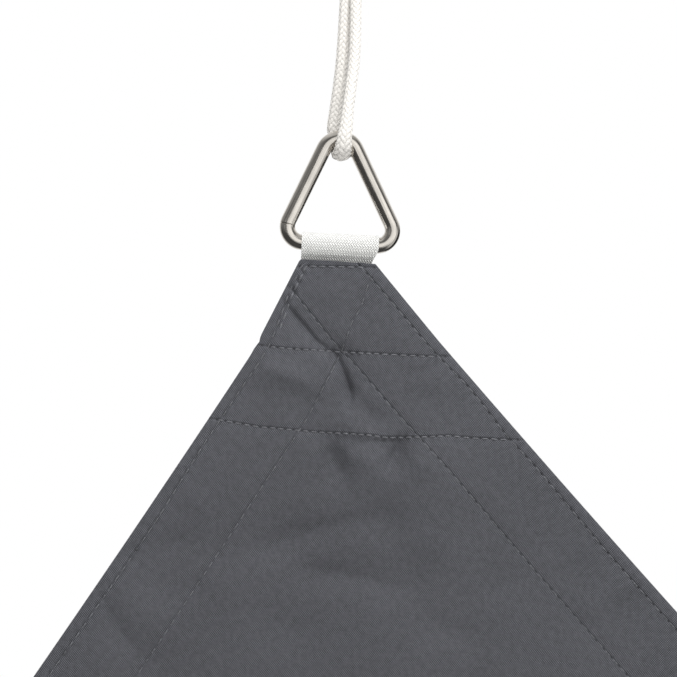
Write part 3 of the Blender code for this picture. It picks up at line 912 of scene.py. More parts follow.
class ClothSettings(bpy.types.PropertyGroup):
    """The sail's cloth and its stitching."""

    thickness: bpy.props.FloatProperty(
        name="Thickness", description="Thickness of the single cloth", default=0.0009, unit="LENGTH"
    )
    hem_thickness: bpy.props.FloatProperty(
        name="Hem", description="Thickness of the turned hem", default=0.0015, unit="LENGTH"
    )
    thread_width: bpy.props.FloatProperty(
        name="Thread", description="Width of one woven thread", default=0.00066, unit="LENGTH"
    )
    weave_relief: bpy.props.FloatProperty(
        name="Weave relief", description="Height of the weave", default=0.00011, unit="LENGTH"
    )
    row_relief: bpy.props.FloatProperty(
        name="Row relief", description="Depth of a stitched row", default=0.0007, unit="LENGTH"
    )
    colour: bpy.props.FloatVectorProperty(
        name="Cloth", description="Colour of the cloth", default=(0.0695, 0.071, 0.080), subtype="COLOR"
    )
    thread_colour: bpy.props.FloatVectorProperty(
        name="Thread",
        description="Colour of the sewing thread",
        default=(0.135, 0.138, 0.150),
        subtype="COLOR",
    )
    stitch_radius: bpy.props.FloatProperty(
        name="Stitch", description="Radius of the sewing thread", default=0.00026, unit="LENGTH"
    )


class FittingSettings(bpy.types.PropertyGroup):
    """Webbing and rings."""

    webbing: bpy.props.FloatProperty(
        name="Webbing", description="Thickness of the webbing", default=0.00085, unit="LENGTH"
    )
    rib_width: bpy.props.FloatProperty(
        name="Rib width",
        description="Distance between the webbing's ribs",
        default=0.00105,
        unit="LENGTH",
    )
    rib_height: bpy.props.FloatProperty(
        name="Rib height", description="Height of a row of ribs", default=0.0010, unit="LENGTH"
    )
    rib_relief: bpy.props.FloatProperty(
        name="Rib relief", description="How far the ribs stand out", default=0.00042, unit="LENGTH"
    )
    webbing_colour: bpy.props.FloatVectorProperty(
        name="Webbing",
        description="Colour of the webbing",
        default=(0.955, 0.955, 0.93),
        subtype="COLOR",
    )
    wire: bpy.props.FloatProperty(
        name="Wire", description="Diameter of the ring's wire", default=0.0061, unit="LENGTH"
    )
    steel_colour: bpy.props.FloatVectorProperty(
        name="Steel", description="Colour of the steel", default=(0.665, 0.63, 0.578), subtype="COLOR"
    )
    scratch_relief: bpy.props.FloatProperty(
        name="Scratches", description="Depth of the steel's scratches", default=0.00010, unit="LENGTH"
    )


class RopeSettings(bpy.types.PropertyGroup):
    """The braided rope."""

    diameter: bpy.props.FloatProperty(
        name="Diameter", description="Diameter of the rope", default=0.0041, unit="LENGTH"
    )
    plait: bpy.props.FloatProperty(
        name="Plait", description="Length of one crossing of the braid", default=0.0022, unit="LENGTH"
    )
    relief: bpy.props.FloatProperty(
        name="Relief", description="How far the strands stand out", default=0.00037, unit="LENGTH"
    )
    colour: bpy.props.FloatVectorProperty(
        name="Rope", description="Colour of the rope", default=(0.775, 0.75, 0.712), subtype="COLOR"
    )


class StudioSettings(bpy.types.PropertyGroup):
    """Camera and lights."""

    view_width: bpy.props.FloatProperty(
        name="View width",
        description="Width that the camera sees at the sail",
        default=0.26403,
        unit="LENGTH",
    )
    distance: bpy.props.FloatProperty(
        name="Distance", description="Camera to sail", default=1.1, unit="LENGTH"
    )
    key_power: bpy.props.FloatProperty(
        name="Key light", description="Strength of the key light", default=4.2, unit="POWER"
    )
    fill: bpy.props.FloatProperty(
        name="Fill", description="Strength of the soft light from all round", default=0.68
    )


# ------------------------------------------------------------------------------- stage

VIEW_CENTRE = (-0.0076, -0.1980)  # x and z at the photograph's middle
SENSOR = 36.0
FLOOR_Z = -3.10
FLOOR_RADIUS = 14.0
FLOOR_PLAIN = 2.5  # it fades to white from here out
FLOOR_FADED = 0.97  # of its radius, where it is white to the camera
FLOOR_X = 0.08
FLOOR_COLOUR = (0.86, 0.86, 0.85, 1.0)
KEY_PLACE = Vector((0.12, -0.43, 0.36))
KEY_SIZE = 0.36
# What the steel mirrors: azimuth and elevation, cosines at which a light starts and is full, strength.
# Where the strength is below zero, a dark flag stands.
MIRRORED_LIGHTS = (
    ((24, 4), 0.72, 0.90, 1.10),  # the large soft box
    ((50, 24), 0.92, 0.985, 0.22),
    ((80, -25), 0.74, 0.95, 0.62),
    ((114, 24), 0.84, 0.98, 0.34),
    ((180, 0), 0.22, 0.80, 0.98),  # white wall behind
    ((126, -22), 0.74, 0.96, -0.90),
    ((-108, 30), 0.75, 0.98, 0.16),
    ((-66, 34), 0.60, 0.95, 0.12),
    ((-38, 6), 0.955, 0.99, 0.16),
    ((8, 2), 0.990, 0.998, -0.22),
    ((0, 90), 0.60, 0.95, 0.55),
)
MIRRORED_REST = 0.07
MIRRORED_LEAST = 0.03
# What lights everything else, as shares of the fill: from the front, from behind, and two from beside
SOFT_LIGHTS = (
    ((6, 32), -0.4, 0.95, 0.95),
    ((180, 35), 0.3, 0.95, 0.55),
    ((34, 48), 0.84, 0.95, 2.0),
    ((140, 44), 0.84, 0.95, 2.0),
)
SOFT_REST = 0.10


def direction_of(azimuth, elevation):
    """Unit vector: azimuth 0 is towards the camera, and 90 to the right."""
    a, e = radians(azimuth), radians(elevation)
    return Vector((sin(a) * cos(e), -cos(a) * cos(e), sin(e)))


def lights_of(direction, lights, rest):
    """Sum of the lights that a direction of the world meets, and of what is there without them."""
    for way, low, high, strength in lights:
        inputs = {0: direction, 1: direction_of(*way)}
        near = output(new_node(direction.tree, "VectorMath", inputs, operation="DOT_PRODUCT"), "Value")
        rest = ranged(near, low, high) * strength + rest
    return rest


def build_world(fill):
    """White to the camera, soft boxes and dark flags in the steel, and a soft even fill for the rest."""
    world = bpy.data.worlds.new("studio")
    bpy.context.scene.world = world
    world.use_nodes = True
    tree = world.node_tree
    tree.nodes.clear()
    direction = output(new_node(tree, "TexCoord"), "Generated")
    mirrored = maths("MAXIMUM", lights_of(direction, MIRRORED_LIGHTS, MIRRORED_REST), MIRRORED_LEAST)
    soft = lights_of(direction, SOFT_LIGHTS, SOFT_REST) * fill
    path = outputs_of(new_node(tree, "LightPath"))
    strength = mix_values(path["Is Glossy Ray"], soft, mirrored)
    seen = mix_values(path["Is Camera Ray"], strength, 1.0)
    background = new_node(tree, "Background", {"Color": (1.0, 1.0, 1.0, 1.0), "Strength": seen})
    new_node(tree, "OutputWorld", {"Surface": output(background)})


class SHADESAIL_OT_stage(bpy.types.Operator):
    """Sets up the camera, the lights and the floor"""

    bl_idname = "shade_sail.stage"
    bl_label = "Stage"

    def execute(self, context):
        settings = context.scene.shade_sail_studio
        bpy.ops.object.camera_add(
            location=(VIEW_CENTRE[0], -settings.distance, VIEW_CENTRE[1]), rotation=(pi / 2, 0.0, 0.0)
        )
        camera = context.object
        camera.name = "camera"
        camera.data.sensor_width = SENSOR
        camera.data.lens = SENSOR * settings.distance / settings.view_width
        camera.data.clip_end = 100.0
        context.scene.camera = camera
        context.scene.view_settings.view_transform = "Standard"
        build_world(settings.fill)
        self.add_key(context, settings.key_power)
        self.add_floor()
        return {"FINISHED"}

    @staticmethod
    def add_key(context, power):
        """A large soft light, in front of the sail and to its upper right."""
        aim = Vector((VIEW_CENTRE[0], 0.0, VIEW_CENTRE[1])) - KEY_PLACE
        turn = aim.to_track_quat("-Z", "Y").to_euler()
        bpy.ops.object.light_add(type="AREA", location=KEY_PLACE, rotation=turn)
        light = context.object
        light.name = "key_light"
        light.data.shape = "DISK"
        light.data.size = KEY_SIZE
        light.data.energy = power
        light.visible_glossy = False
        light.visible_camera = False

    @staticmethod
    def add_floor():
        """A round pale floor, which the camera sees fade to white."""
        deselect_all()
        bpy.ops.mesh.primitive_circle_add(
            vertices=128, radius=FLOOR_RADIUS, fill_type="NGON", location=(FLOOR_X, 0.0, FLOOR_Z)
        )
        floor = bpy.context.object
        floor.name = "floor"
        floor.visible_glossy = False
        material, tree, shader = new_material("pale_floor")
        put_all(shader, {"Base Color": FLOOR_COLOUR, "Roughness": 0.9})
        length = new_node(tree, "VectorMath", {0: object_place(tree)}, operation="LENGTH")
        far = ranged(output(length, "Value"), FLOOR_PLAIN, FLOOR_RADIUS * FLOOR_FADED)
        seen = outputs_of(new_node(tree, "LightPath"))["Is Camera Ray"]
        white = new_node(tree, "Emission")
        mix = new_node(tree, "MixShader", {0: far * seen, 1: output(shader), 2: output(white)})
        put(tree.nodes["Material Output"].inputs["Surface"], output(mix))
        floor.data.materials.append(material)


# ------------------------------------------------------------------------------- rope

# In millimetres, from the knot down through the top ring, front to back, and up to the knot again
ROPE_ROUTE = (
    (-0.4, -1.3, -54.4),
    (-0.8, -1.5, -66.0),
    (-1.3, -2.2, -87.0),
    (-2.7, -3.5, -99.5),
    (-3.9, -4.8, -108.5),
    (-4.6, -5.6, -115.5),
    (-5.3, -5.6, -120.2),
    (-5.8, -4.0, -124.1),
    (-6.5, 0.0, -126.3),
    (-7.4, 4.0, -124.1),
    (-8.6, 5.6, -120.2),
    (-9.6, 5.6, -115.5),
    (-8.7, 4.9, -108.5),
    (-7.4, 3.7, -99.5),
    (-6.0, 2.6, -87.0),
    (-4.7, 2.0, -66.0),
    (-4.2, 1.8, -54.4),
)
EYE_ROUTE = (
    (-4.4, 0.6, -35.9),
    (-4.5, 0.6, -33.2),
    (-5.6, 0.4, -28.5),
    (-7.4, 0.2, -21.0),
    (-8.1, 0.0, -12.0),
    (-7.2, 0.0, -4.5),
    (-4.2, 0.0, 0.6),
    (0.0, 0.0, 2.05),
    (4.2, 0.0, 0.6),
    (7.2, 0.0, -4.5),
    (7.9, 0.0, -12.0),
    (6.2, -0.2, -21.0),
    (2.2, -0.4, -28.5),
    (0.7, -0.6, -33.2),
    (0.5, -0.6, -35.9),
)
# How the rope is pressed flat on the ring: share of its length, wider, thinner
PRESSED = (
    (0.00, 1.10, 0.96),
    (0.36, 1.10, 0.96),
    (0.41, 1.28, 0.90),
    (0.45, 1.50, 0.86),
    (0.50, 1.85, 1.24),
    (0.54, 1.60, 1.00),
    (0.58, 1.25, 0.94),
    (0.62, 1.20, 0.96),
    (1.00, 1.20, 0.96),
)
PLAIN = ((0.0, 1.0, 1.0), (1.0, 1.0, 1.0))
STRANDS = 16
KNOT_AXIS = (-0.0021, 0.0)
KNOT_TOP = -0.0362
KNOT_BOTTOM = -0.0541
KNOT_RADIUS = 0.0073
KNOT_POINTS = 400
ROUTE_POINTS = 60  # between two of a route's points, before they are evened out
FALL_STEP, LOOP_STEP, PATH_STEP = 0.00022, 0.0003, 0.002
FALL_SIDES, LOOP_SIDES = 72, 56
MEAN_LAY = 0.72  # height of the braid's surface at the rope's nominal diameter
UNEVEN, UNEVEN_LENGTH, UNEVEN_SHIFT = 0.1, 2.7, 12.9898  # its strands differ a little
SUNK_CROWN, FLOAT_ROUND = 0.35, 0.6  # how deep a strand dives, and how flat it floats


def smooth_route(route, spacing):
    """Evenly spaced points of a smooth curve through a route's points."""
    knots = np.array(route) * MM
    padded = np.vstack((2 * knots[0] - knots[1], knots, 2 * knots[-1] - knots[-2]))
    share = np.linspace(0.0, 1.0, ROUTE_POINTS, endpoint=False)[:, None]
    runs = []
    for before, start, end, after in zip(padded, padded[1:], padded[2:], padded[3:]):
        bend = start * 2 + (end - before) * share
        bend = bend + (before * 2 - start * 5 + end * 4 - after) * share**2
        bend = bend + (start * 3 - before - end * 3 + after) * share**3
        runs.append(bend / 2)
    return even_points(np.vstack((*runs, knots[-1:])), spacing)


def braid_height(along, turn):
    """Braid's surface, 0 between its strands and 1 on them: each floats over two of the other set."""
    rise, fall = along + turn * STRANDS / 2, along - turn * STRANDS / 2
    rise_cell, fall_cell = np.floor(rise), np.floor(fall)
    part = np.mod(rise_cell - fall_cell, 4)
    rise_on_top = part < 2
    across = np.where(rise_on_top, rise - rise_cell, fall - fall_cell)
    float_start = np.where(rise_on_top, 1 - part, part - 2)
    progress = (float_start + np.where(rise_on_top, fall - fall_cell, rise - rise_cell)) / 2
    strand = np.where(rise_on_top, rise_cell, fall_cell + 0.5)
    crown = np.sqrt(np.maximum(0.0, 1 - (2 * across - 1) ** 2))
    wander = np.sin(strand * UNEVEN_SHIFT) * np.sin(along * UNEVEN_LENGTH + strand)
    floating = np.sin(pi * np.clip(progress, 0.0, 1.0)) ** FLOAT_ROUND
    return crown * (1 - UNEVEN + UNEVEN * wander) * (SUNK_CROWN + (1 - SUNK_CROWN) * floating)


def braided_tube(name, points, reference, pressed, sides, settings):
    """A rope along evenly spaced points, with the braid's strands raised in its surface."""
    tangent = np.gradient(points, axis=0)
    tangent /= np.linalg.norm(tangent, axis=1, keepdims=True)
    side = np.array(reference) - (tangent @ np.array(reference))[:, None] * tangent
    side /= np.linalg.norm(side, axis=1, keepdims=True)
    out = np.cross(tangent, side)
    reached = reached_along(points)
    shares, widths, heights = np.array(pressed).T
    wide = np.interp(reached / reached[-1], shares, widths)
    thin = np.interp(reached / reached[-1], shares, heights)
    turn = np.arange(sides) / sides
    lay = braid_height((reached / settings.plait)[:, None], turn[None, :])
    radius = settings.diameter / 2 + settings.relief * (lay - MEAN_LAY)
    angle = 2 * pi * turn[None, :]
    offset = side[:, None, :] * (np.cos(angle) * radius * wide[:, None])[..., None]
    offset = offset + out[:, None, :] * (np.sin(angle) * radius * thin[:, None])[..., None]
    surface = points[:, None, :] + offset
    closed = np.concatenate((surface, surface[:, :1]), axis=1)
    mesh = grid_mesh(name, closed)
    # The braid's height, which the rope's colour turns into painted shade between strands
    set_attribute(mesh, "braid", np.concatenate((lay, lay[:, :1]), axis=1))
    obj = add_object(name, mesh)
    close_tube(mesh)
    smooth(obj, ROPE_SHARP)
    return obj, reached[-1]


def close_tube(mesh):
    """Joins the tube's seam, fills both of its ends and turns its faces outwards."""
    with edited(mesh) as bm:
        bmesh.ops.remove_doubles(bm, verts=bm.verts, dist=MERGED / 10)
        rims = [edge for edge in bm.edges if edge.is_boundary]
        bmesh.ops.holes_fill(bm, edges=rims, sides=0)
        bmesh.ops.recalc_face_normals(bm, faces=bm.faces)


class SHADESAIL_OT_rope(bpy.types.Operator):
    bl_idname = "shade_sail.rope"
    bl_label = "Rope"

    def execute(self, context):
        settings = context.scene.shade_sail_rope
        material = rope_material(settings)
        pieces, lengths = [], []
        fall_points = smooth_route(ROPE_ROUTE, FALL_STEP)
        eye_points = smooth_route(EYE_ROUTE, LOOP_STEP)
        for name, node, points, reference, pressed, sides in (
            ("rope_fall_braid", "rope_fall", fall_points, (1, 0, 0), PRESSED, FALL_SIDES),
            ("rope_eye_braid", "rope_eye", eye_points, (0, 1, 0), PLAIN, LOOP_SIDES),
            ("rope_knot_turns", "rope_knot", self.knot_points(settings), (0, 0, 1), PLAIN, LOOP_SIDES),
        ):
            piece, length = braided_tube(name, points, reference, pressed, sides, settings)
            pieces.append(finish_piece(piece, material, "rope", node))
            lengths.append(length)
        return {"FINISHED"}

    @staticmethod
    def knot_points(settings):
        """The knot's turns lie on each other round the doubled rope."""
        radius = KNOT_RADIUS - settings.diameter / 2
        height = KNOT_TOP - KNOT_BOTTOM - settings.diameter
        turns = height / settings.diameter
        share = np.linspace(0.0, 1.0, KNOT_POINTS)
        angle = 2 * pi * turns * share
        x, y = KNOT_AXIS[0] + radius * np.cos(angle), KNOT_AXIS[1] + radius * np.sin(angle)
        z = KNOT_BOTTOM + settings.diameter / 2 + height * share
        return even_points(np.stack((x, y, z), -1), LOOP_STEP)


# ------------------------------------------------------------------------------- rings

BAR_MIDDLE = Vector((-0.0069, 0.0, -0.1612))
RING_LEFT = Vector((-0.0241, 0.0, 0.0012))  # where the wire's middle lines would meet
RING_RIGHT = Vector((0.0241, 0.0, -0.0012))
RING_TIP = Vector((0.0, 0.0, 0.0502))
RING_TIP_RADIUS = 0.0069
RING_BASE_RADIUS = 0.0061
WIRE_SIDES = 32
BEND_STEPS = 18
LIMB_PARTS = 6  # a straight limb has rings of points on its way, so that it shades evenly
RING_REACH = 0.024  # mean distance of the wire from the ring's middle
JOINT_BACK = radians(17)  # the wire's ends meet this far inside the left bend, in a fine groove
JOINT_TURN = radians(3)  # half of the groove's width
JOINT_DEPTH = 0.92
TANGENT_STEP = 0.01  # radians


class Bend:
    """One rounded corner of the ring: where it starts and ends, its centre and how far it turns."""

    def __init__(self, before, corner, after, radius):
        to_before = (before - corner).normalized()
        to_after = (after - corner).normalized()
        half = to_before.angle(to_after) / 2
        self.start = corner + to_before * (radius / tan(half))
        self.end = corner + to_after * (radius / tan(half))
        self.centre = corner + (to_before + to_after).normalized() * (radius / sin(half))
        self.angle = pi - 2 * half

    def before_end(self, back):
        """The point on the wire's middle that lies back from the bend's end by an angle."""
        arm, other = self.end - self.centre, self.start - self.centre
        return self.centre + (arm * sin(self.angle - back) + other * sin(back)) / sin(self.angle)


def extrude_ring(step):
    bpy.ops.mesh.extrude_region_move(TRANSFORM_OT_translate={"value": step})


def spin_ring(bend, angle, steps):
    centre = BAR_MIDDLE + bend.centre
    bpy.ops.mesh.spin(steps=steps, angle=-angle, center=centre, axis=(0.0, 1.0, 0.0))


def scale_ring(factor, middle):
    bpy.ops.transform.resize(value=(factor,) * 3, center_override=BAR_MIDDLE + middle)


class SHADESAIL_OT_rings(bpy.types.Operator):
    """Bends the top ring's wire, and copies the ring to the other corners"""

    bl_idname = "shade_sail.rings"
    bl_label = "Rings"

    def execute(self, context):
        settings = context.scene.shade_sail_fittings
        material = steel_material(settings)
        ring = self.bend_wire(settings.wire)
        for number, corner in enumerate(CORNERS):
            copy = ring
            if number:
                copy = add_object("copy", ring.data.copy())
                copy.data.transform(corner_turn(number))
            copy.name = f"wire_ring_{corner}"
            finish_piece(copy, material, "steel", f"ring_{corner}")
        return {"FINISHED"}

    def bend_wire(self, wire):
        """A round section drawn along the limbs and spun round the bends, from the left bend on."""
        corners = (RING_LEFT, RING_TIP, RING_RIGHT)
        radii = (RING_BASE_RADIUS, RING_TIP_RADIUS, RING_BASE_RADIUS)
        left, tip, right = (
            Bend(corners[index - 1], corners[index], corners[(index + 1) % 3], radius)
            for index, radius in enumerate(radii)
        )
        joint = left.before_end(JOINT_BACK)
        before, after = (left.before_end(JOINT_BACK + step) for step in (TANGENT_STEP, -TANGENT_STEP))
        onwards = after - before
        deselect_all()
        bpy.ops.mesh.primitive_circle_add(
            vertices=WIRE_SIDES,
            radius=wire / 2 * JOINT_DEPTH,
            location=BAR_MIDDLE + joint,
            rotation=(0.0, atan2(onwards.x, onwards.z), 0.0),
        )
        ring = bpy.context.object
        bpy.ops.object.mode_set(mode="EDIT")
        bpy.ops.mesh.select_all(action="SELECT")
        spin_ring(left, JOINT_TURN, 1)
        scale_ring(1 / JOINT_DEPTH, left.before_end(JOINT_BACK - JOINT_TURN))
        spin_ring(left, JOINT_BACK - JOINT_TURN, BEND_STEPS // 3)
        place = left.end
        for bend, angle in ((tip, tip.angle), (right, right.angle), (left, left.angle - JOINT_BACK)):
            for _ in range(LIMB_PARTS):
                extrude_ring((bend.start - place) / LIMB_PARTS)
            spin_ring(bend, angle, BEND_STEPS)
            place = bend.end
        extrude_ring(Vector((0.0, 0.0, 0.0)))
        scale_ring(JOINT_DEPTH, joint)
        bpy.ops.mesh.select_all(action="SELECT")
        bpy.ops.mesh.remove_doubles(threshold=MERGED)
        bpy.ops.mesh.normals_make_consistent(inside=False)
        bpy.ops.object.mode_set(mode="OBJECT")
        bpy.ops.object.transform_apply(location=True, rotation=True, scale=True)
        self.mark_wire(ring.data, wire)
        smooth(ring, WIRE_SHARP)
        return ring

    @staticmethod
    def mark_wire(mesh, wire):
        """Distance round the ring and round the wire, for the scratches."""
        middle = BAR_MIDDLE + (RING_LEFT + RING_TIP + RING_RIGHT) / 3
        values = []
        for vertex in mesh.vertices:
            offset, normal = vertex.co - middle, vertex.normal
            outwards = np.hypot(normal.x, normal.z) * np.sign(normal.x * offset.x + normal.z * offset.z)
            along = atan2(offset.x, offset.z) * RING_REACH
            values.append((along, atan2(normal.y, outwards) * wire / 2))
        set_attribute(mesh, "wire", *zip(*values))


# ------------------------------------------------------------------------------- webbing

WEBBING_WIDTH = 0.0300
WEBBING_FOOT = 0.0277  # it is drawn in at its right where it enters the cloth
WEBBING_GAP = 0.0001  # between the wire and the webbing
WEBBING_LEG = 0.0008  # half the distance between the middles of its two tails
WEBBING_NECK = 0.0070
WEBBING_END = 0.0205
TUCK = 0.0022  # it hangs straight this far below the bar, then goes in between cloth and patch
TUCK_SHARE = 0.93
WEBBING_STEP = 0.00055
WEBBING_COLUMNS = 41
WRAP_POINTS = 40
WRAP_PAST = radians(8)  # it lies on the bar this far past its half turn, at both sides
DRAWN_IN_START = 0.001  # below the bar
# Between these distances below the bar the foot comes in: its ribs stand out more, and painted shade darkens
# between them
FOOT_START, FOOT_FULL = 0.0030, 0.0062


class SHADESAIL_OT_webbing(bpy.types.Operator):
    """Folds a strip of webbing round each ring's bar"""

    bl_idname = "shade_sail.webbing"
    bl_label = "Webbing"

    def execute(self, context):
        settings = context.scene.shade_sail_fittings
        material = webbing_material(settings)
        along_bar = RING_RIGHT - RING_LEFT
        tilt = Matrix.Rotation(-atan2(along_bar.z, along_bar.x), 4, "Y")
        for number, corner in enumerate(CORNERS):
            mesh = self.strip(settings)
            mesh.transform(corner_turn(number) @ Matrix.Translation(BAR_MIDDLE) @ tilt)
            obj = add_object(f"webbing_strip_{corner}", mesh)
            thicken(obj, settings.webbing, 0.0)
            smooth(obj, WEBBING_SHARP)
            finish_piece(obj, material, "webbing", f"webbing_{corner}")
        return {"FINISHED"}

    @staticmethod
    def strip(settings):
        """The strip's middle surface, from the back tail's end over the bar to the front tail's end."""
        radius = settings.wire / 2 + WEBBING_GAP + settings.webbing / 2
        arc = np.linspace(-WRAP_PAST, pi + WRAP_PAST, WRAP_POINTS)
        bar = [(radius * cos(angle), radius * sin(angle)) for angle in arc]
        tail = [(WEBBING_LEG, -WEBBING_END), (WEBBING_LEG, -WEBBING_NECK), (radius * TUCK_SHARE, -TUCK)]
        front = [(-y, z) for y, z in reversed(tail)]
        dense = np.array([(0.0, y, z) for y, z in (*tail, *bar, *front)])
        path = even_points(rounded(dense), WEBBING_STEP)
        columns = np.linspace(0.0, 1.0, WEBBING_COLUMNS)[None, :]
        y, z, reached = (
            np.repeat(values[:, None], WEBBING_COLUMNS, axis=1)
            for values in (path[:, 1], path[:, 2], reached_along(path))
        )
        drawn_in = (WEBBING_WIDTH - WEBBING_FOOT) * smooth_step(-z, DRAWN_IN_START, WEBBING_NECK)
        x = (WEBBING_WIDTH - drawn_in) * columns - WEBBING_WIDTH / 2
        mesh = grid_mesh("webbing", np.stack((x, y, z), -1))
        across = (columns - 0.5) * WEBBING_WIDTH + z * 0
        set_attribute(mesh, "strip", across, reached, smooth_step(-z, FOOT_START, FOOT_FULL))
        return mesh


def rounded(points):
    """The line with its corners eased, by a few passes of cutting them."""
    for _ in range(3):
        cut = [points[0]]
        for start, end in zip(points, points[1:]):
            cut += [start * 0.75 + end * 0.25, start * 0.25 + end * 0.75]
        points = np.array((*cut, points[-1]))
    return points


# ------------------------------------------------------------------------------- cloth

FINE_END = 0.228  # the mesh is fine this far from the top corner
FINEST_END = 0.098  # and finest this far from it
FINEST = 0.0016
FINE = 0.0026
COARSE = 0.034
COARSE_FAR = 0.007
GROWTH = 1.14
HALVED = (7.0, 4.0)  # how near the sharp lines, in millimetres, the mesh is halved, and again
HEM_LINES = (0.0, 0.0004, 0.0010, 0.0018, 0.0030, OUTER_ROW, 0.0070, 0.0088)
ROW_LINES = (INNER_ROW - 0.0018, INNER_ROW, HEM_WIDTH + 0.0008, HEM_WIDTH + HEM_STEP + 0.0012)
BETWEEN_LINES, INSIDE_LINE = 0.0205, 0.045  # at the far end, where the mesh is coarse
HEM_MESH_START = 0.0101
COARSE_SHARE = 0.16  # of the way that is left, which a cell near the far end may take
CUT_RISE = 0.0011  # a corner's cut is higher at its left end
CUT_FALL = 0.0007
CUT_REACH = 4 * CUT


def mesh_lines():
    """Distances along a side where the cloth's mesh lines lie, closest near the top corner."""
    start = [*HEM_LINES, *np.arange(HEM_MESH_START, ROW_LINES[0] - FINEST / 2, FINEST), *ROW_LINES]
    start += list(np.arange(ROW_LINES[-1] + FINEST, FINEST_END, FINEST))
    start += list(np.arange(start[-1] + FINE, FINE_END, FINE))
    end = [SIDE - line for line in reversed((*HEM_LINES, BETWEEN_LINES, *ROW_LINES, INSIDE_LINE))]
    spacing, lines = FINE, start
    while lines[-1] < end[0]:
        left = end[0] - lines[-1]
        spacing = min(spacing * GROWTH, COARSE, max(COARSE_FAR, left * COARSE_SHARE))
        lines.append(lines[-1] + spacing)
    lines = [line for line in lines if line < end[0] - COARSE_FAR / 2]
    return np.array(lines + end)


class SHADESAIL_OT_cloth(bpy.types.Operator):
    bl_idname = "shade_sail.cloth"
    bl_label = "Cloth"

    def execute(self, context):
        settings = context.scene.shade_sail_cloth
        lines = mesh_lines()
        u, v = np.meshgrid(lines, lines)
        mesh = grid_mesh("sail_cloth", np.stack((u, v, u * 0), -1))
        self.halve_cells(mesh)
        flat = np.empty(len(mesh.vertices) * 3, np.float32)
        mesh.vertices.foreach_get("co", flat)
        u, v = flat[0::3].astype(float), flat[1::3].astype(float)
        mesh.vertices.foreach_set("co", cloth_face(u, v).ravel())
        set_attribute(mesh, "plan", u, v)
        set_attribute(mesh, "rows", *self.row_places(u, v))
        set_attribute(mesh, "seams", *corner_scale(u, v))
        obj = add_object("sail_cloth", mesh)
        hem = obj.vertex_groups.new(name="hem")
        in_hem = edge_distance(u, v) < HEM_WIDTH + HEM_STEP / 2
        hem.add(np.flatnonzero(in_hem).tolist(), 1.0, "REPLACE")
        self.cut_corners(mesh)
        turn_forwards(mesh)
        thicken(obj, settings.hem_thickness, -1.0, "hem", settings.thickness / settings.hem_thickness)
        smooth(obj, CLOTH_SHARP)
        finish_piece(obj, cloth_material("sailcloth", settings, True), "cloth", "sail")
        return {"FINISHED"}

    @staticmethod
    def halve_cells(mesh):
        """Halves the flat mesh's cells where the cloth has its sharpest creases."""
        with edited(mesh) as bm:
            for reach in HALVED:
                centres = np.array([face.calc_center_median() for face in bm.faces])
                points = leant(plan_points(centres[:, 0], centres[:, 1])) / MM
                gaps = [np.abs(distance_to_line(points, line)[0]) for line in SHARP_LINES]
                for face, gap in zip(bm.faces, np.min(gaps, axis=0)):
                    face.tag = bool(gap < reach)
                edges = [edge for edge in bm.edges if any(face.tag for face in edge.link_faces)]
                bmesh.ops.subdivide_edges(bm, edges=edges, cuts=1, use_grid_fill=True)

    @staticmethod
    def row_places(u, v):
        """Distances from the left and right edges on the scale where the rows lie level."""
        places = []
        for across, along in ((u, SIDE - v), (v, u)):
            near = on_row_scale(across, along)
            far = on_row_scale(SIDE - across, SIDE - along)
            places.append(np.where(across < SIDE / 2, near, far))
        return places

    @staticmethod
    def cut_corners(mesh):
        """Cuts each corner off square."""
        ends = ((0.0, CUT - CUT_RISE), (CUT + CUT_FALL, 0.0))
        left, right = (Vector(cloth_face(np.array(u), np.array(v))) for u, v in ends)
        inwards = Vector((right.z - left.z, 0.0, left.x - right.x)).normalized()
        with edited(mesh) as bm:
            for number in range(len(CORNERS)):
                turn = corner_turn(number)
                place = turn @ ((left + right) / 2)
                near = [vertex for vertex in bm.verts if (vertex.co - place).length < CUT_REACH]
                chosen = set(near)
                for items in (bm.edges, bm.faces):
                    near += [item for item in items if chosen.issuperset(item.verts)]
                normal = turn.to_3x3() @ inwards
                bmesh.ops.bisect_plane(
                    bm, geom=near, dist=MERGED, plane_co=place, plane_no=normal, clear_inner=True
                )


# ------------------------------------------------------------------------------- patches

PATCH_LEFT = 0.0960  # how far it reaches down the corner's edges
PATCH_RIGHT = 0.1145
PATCH_INSET = 0.0015
PATCH_COLUMNS, PATCH_ROWS = 44, 32
POCKET = 0.0056  # behind the cloth's face, where the webbing's tails lie between
POCKET_FULL = 0.036
POCKET_END = 0.054
SEWN = 0.0029  # and where it is sewn to the cloth
PATCH_THICKNESS = 0.0009


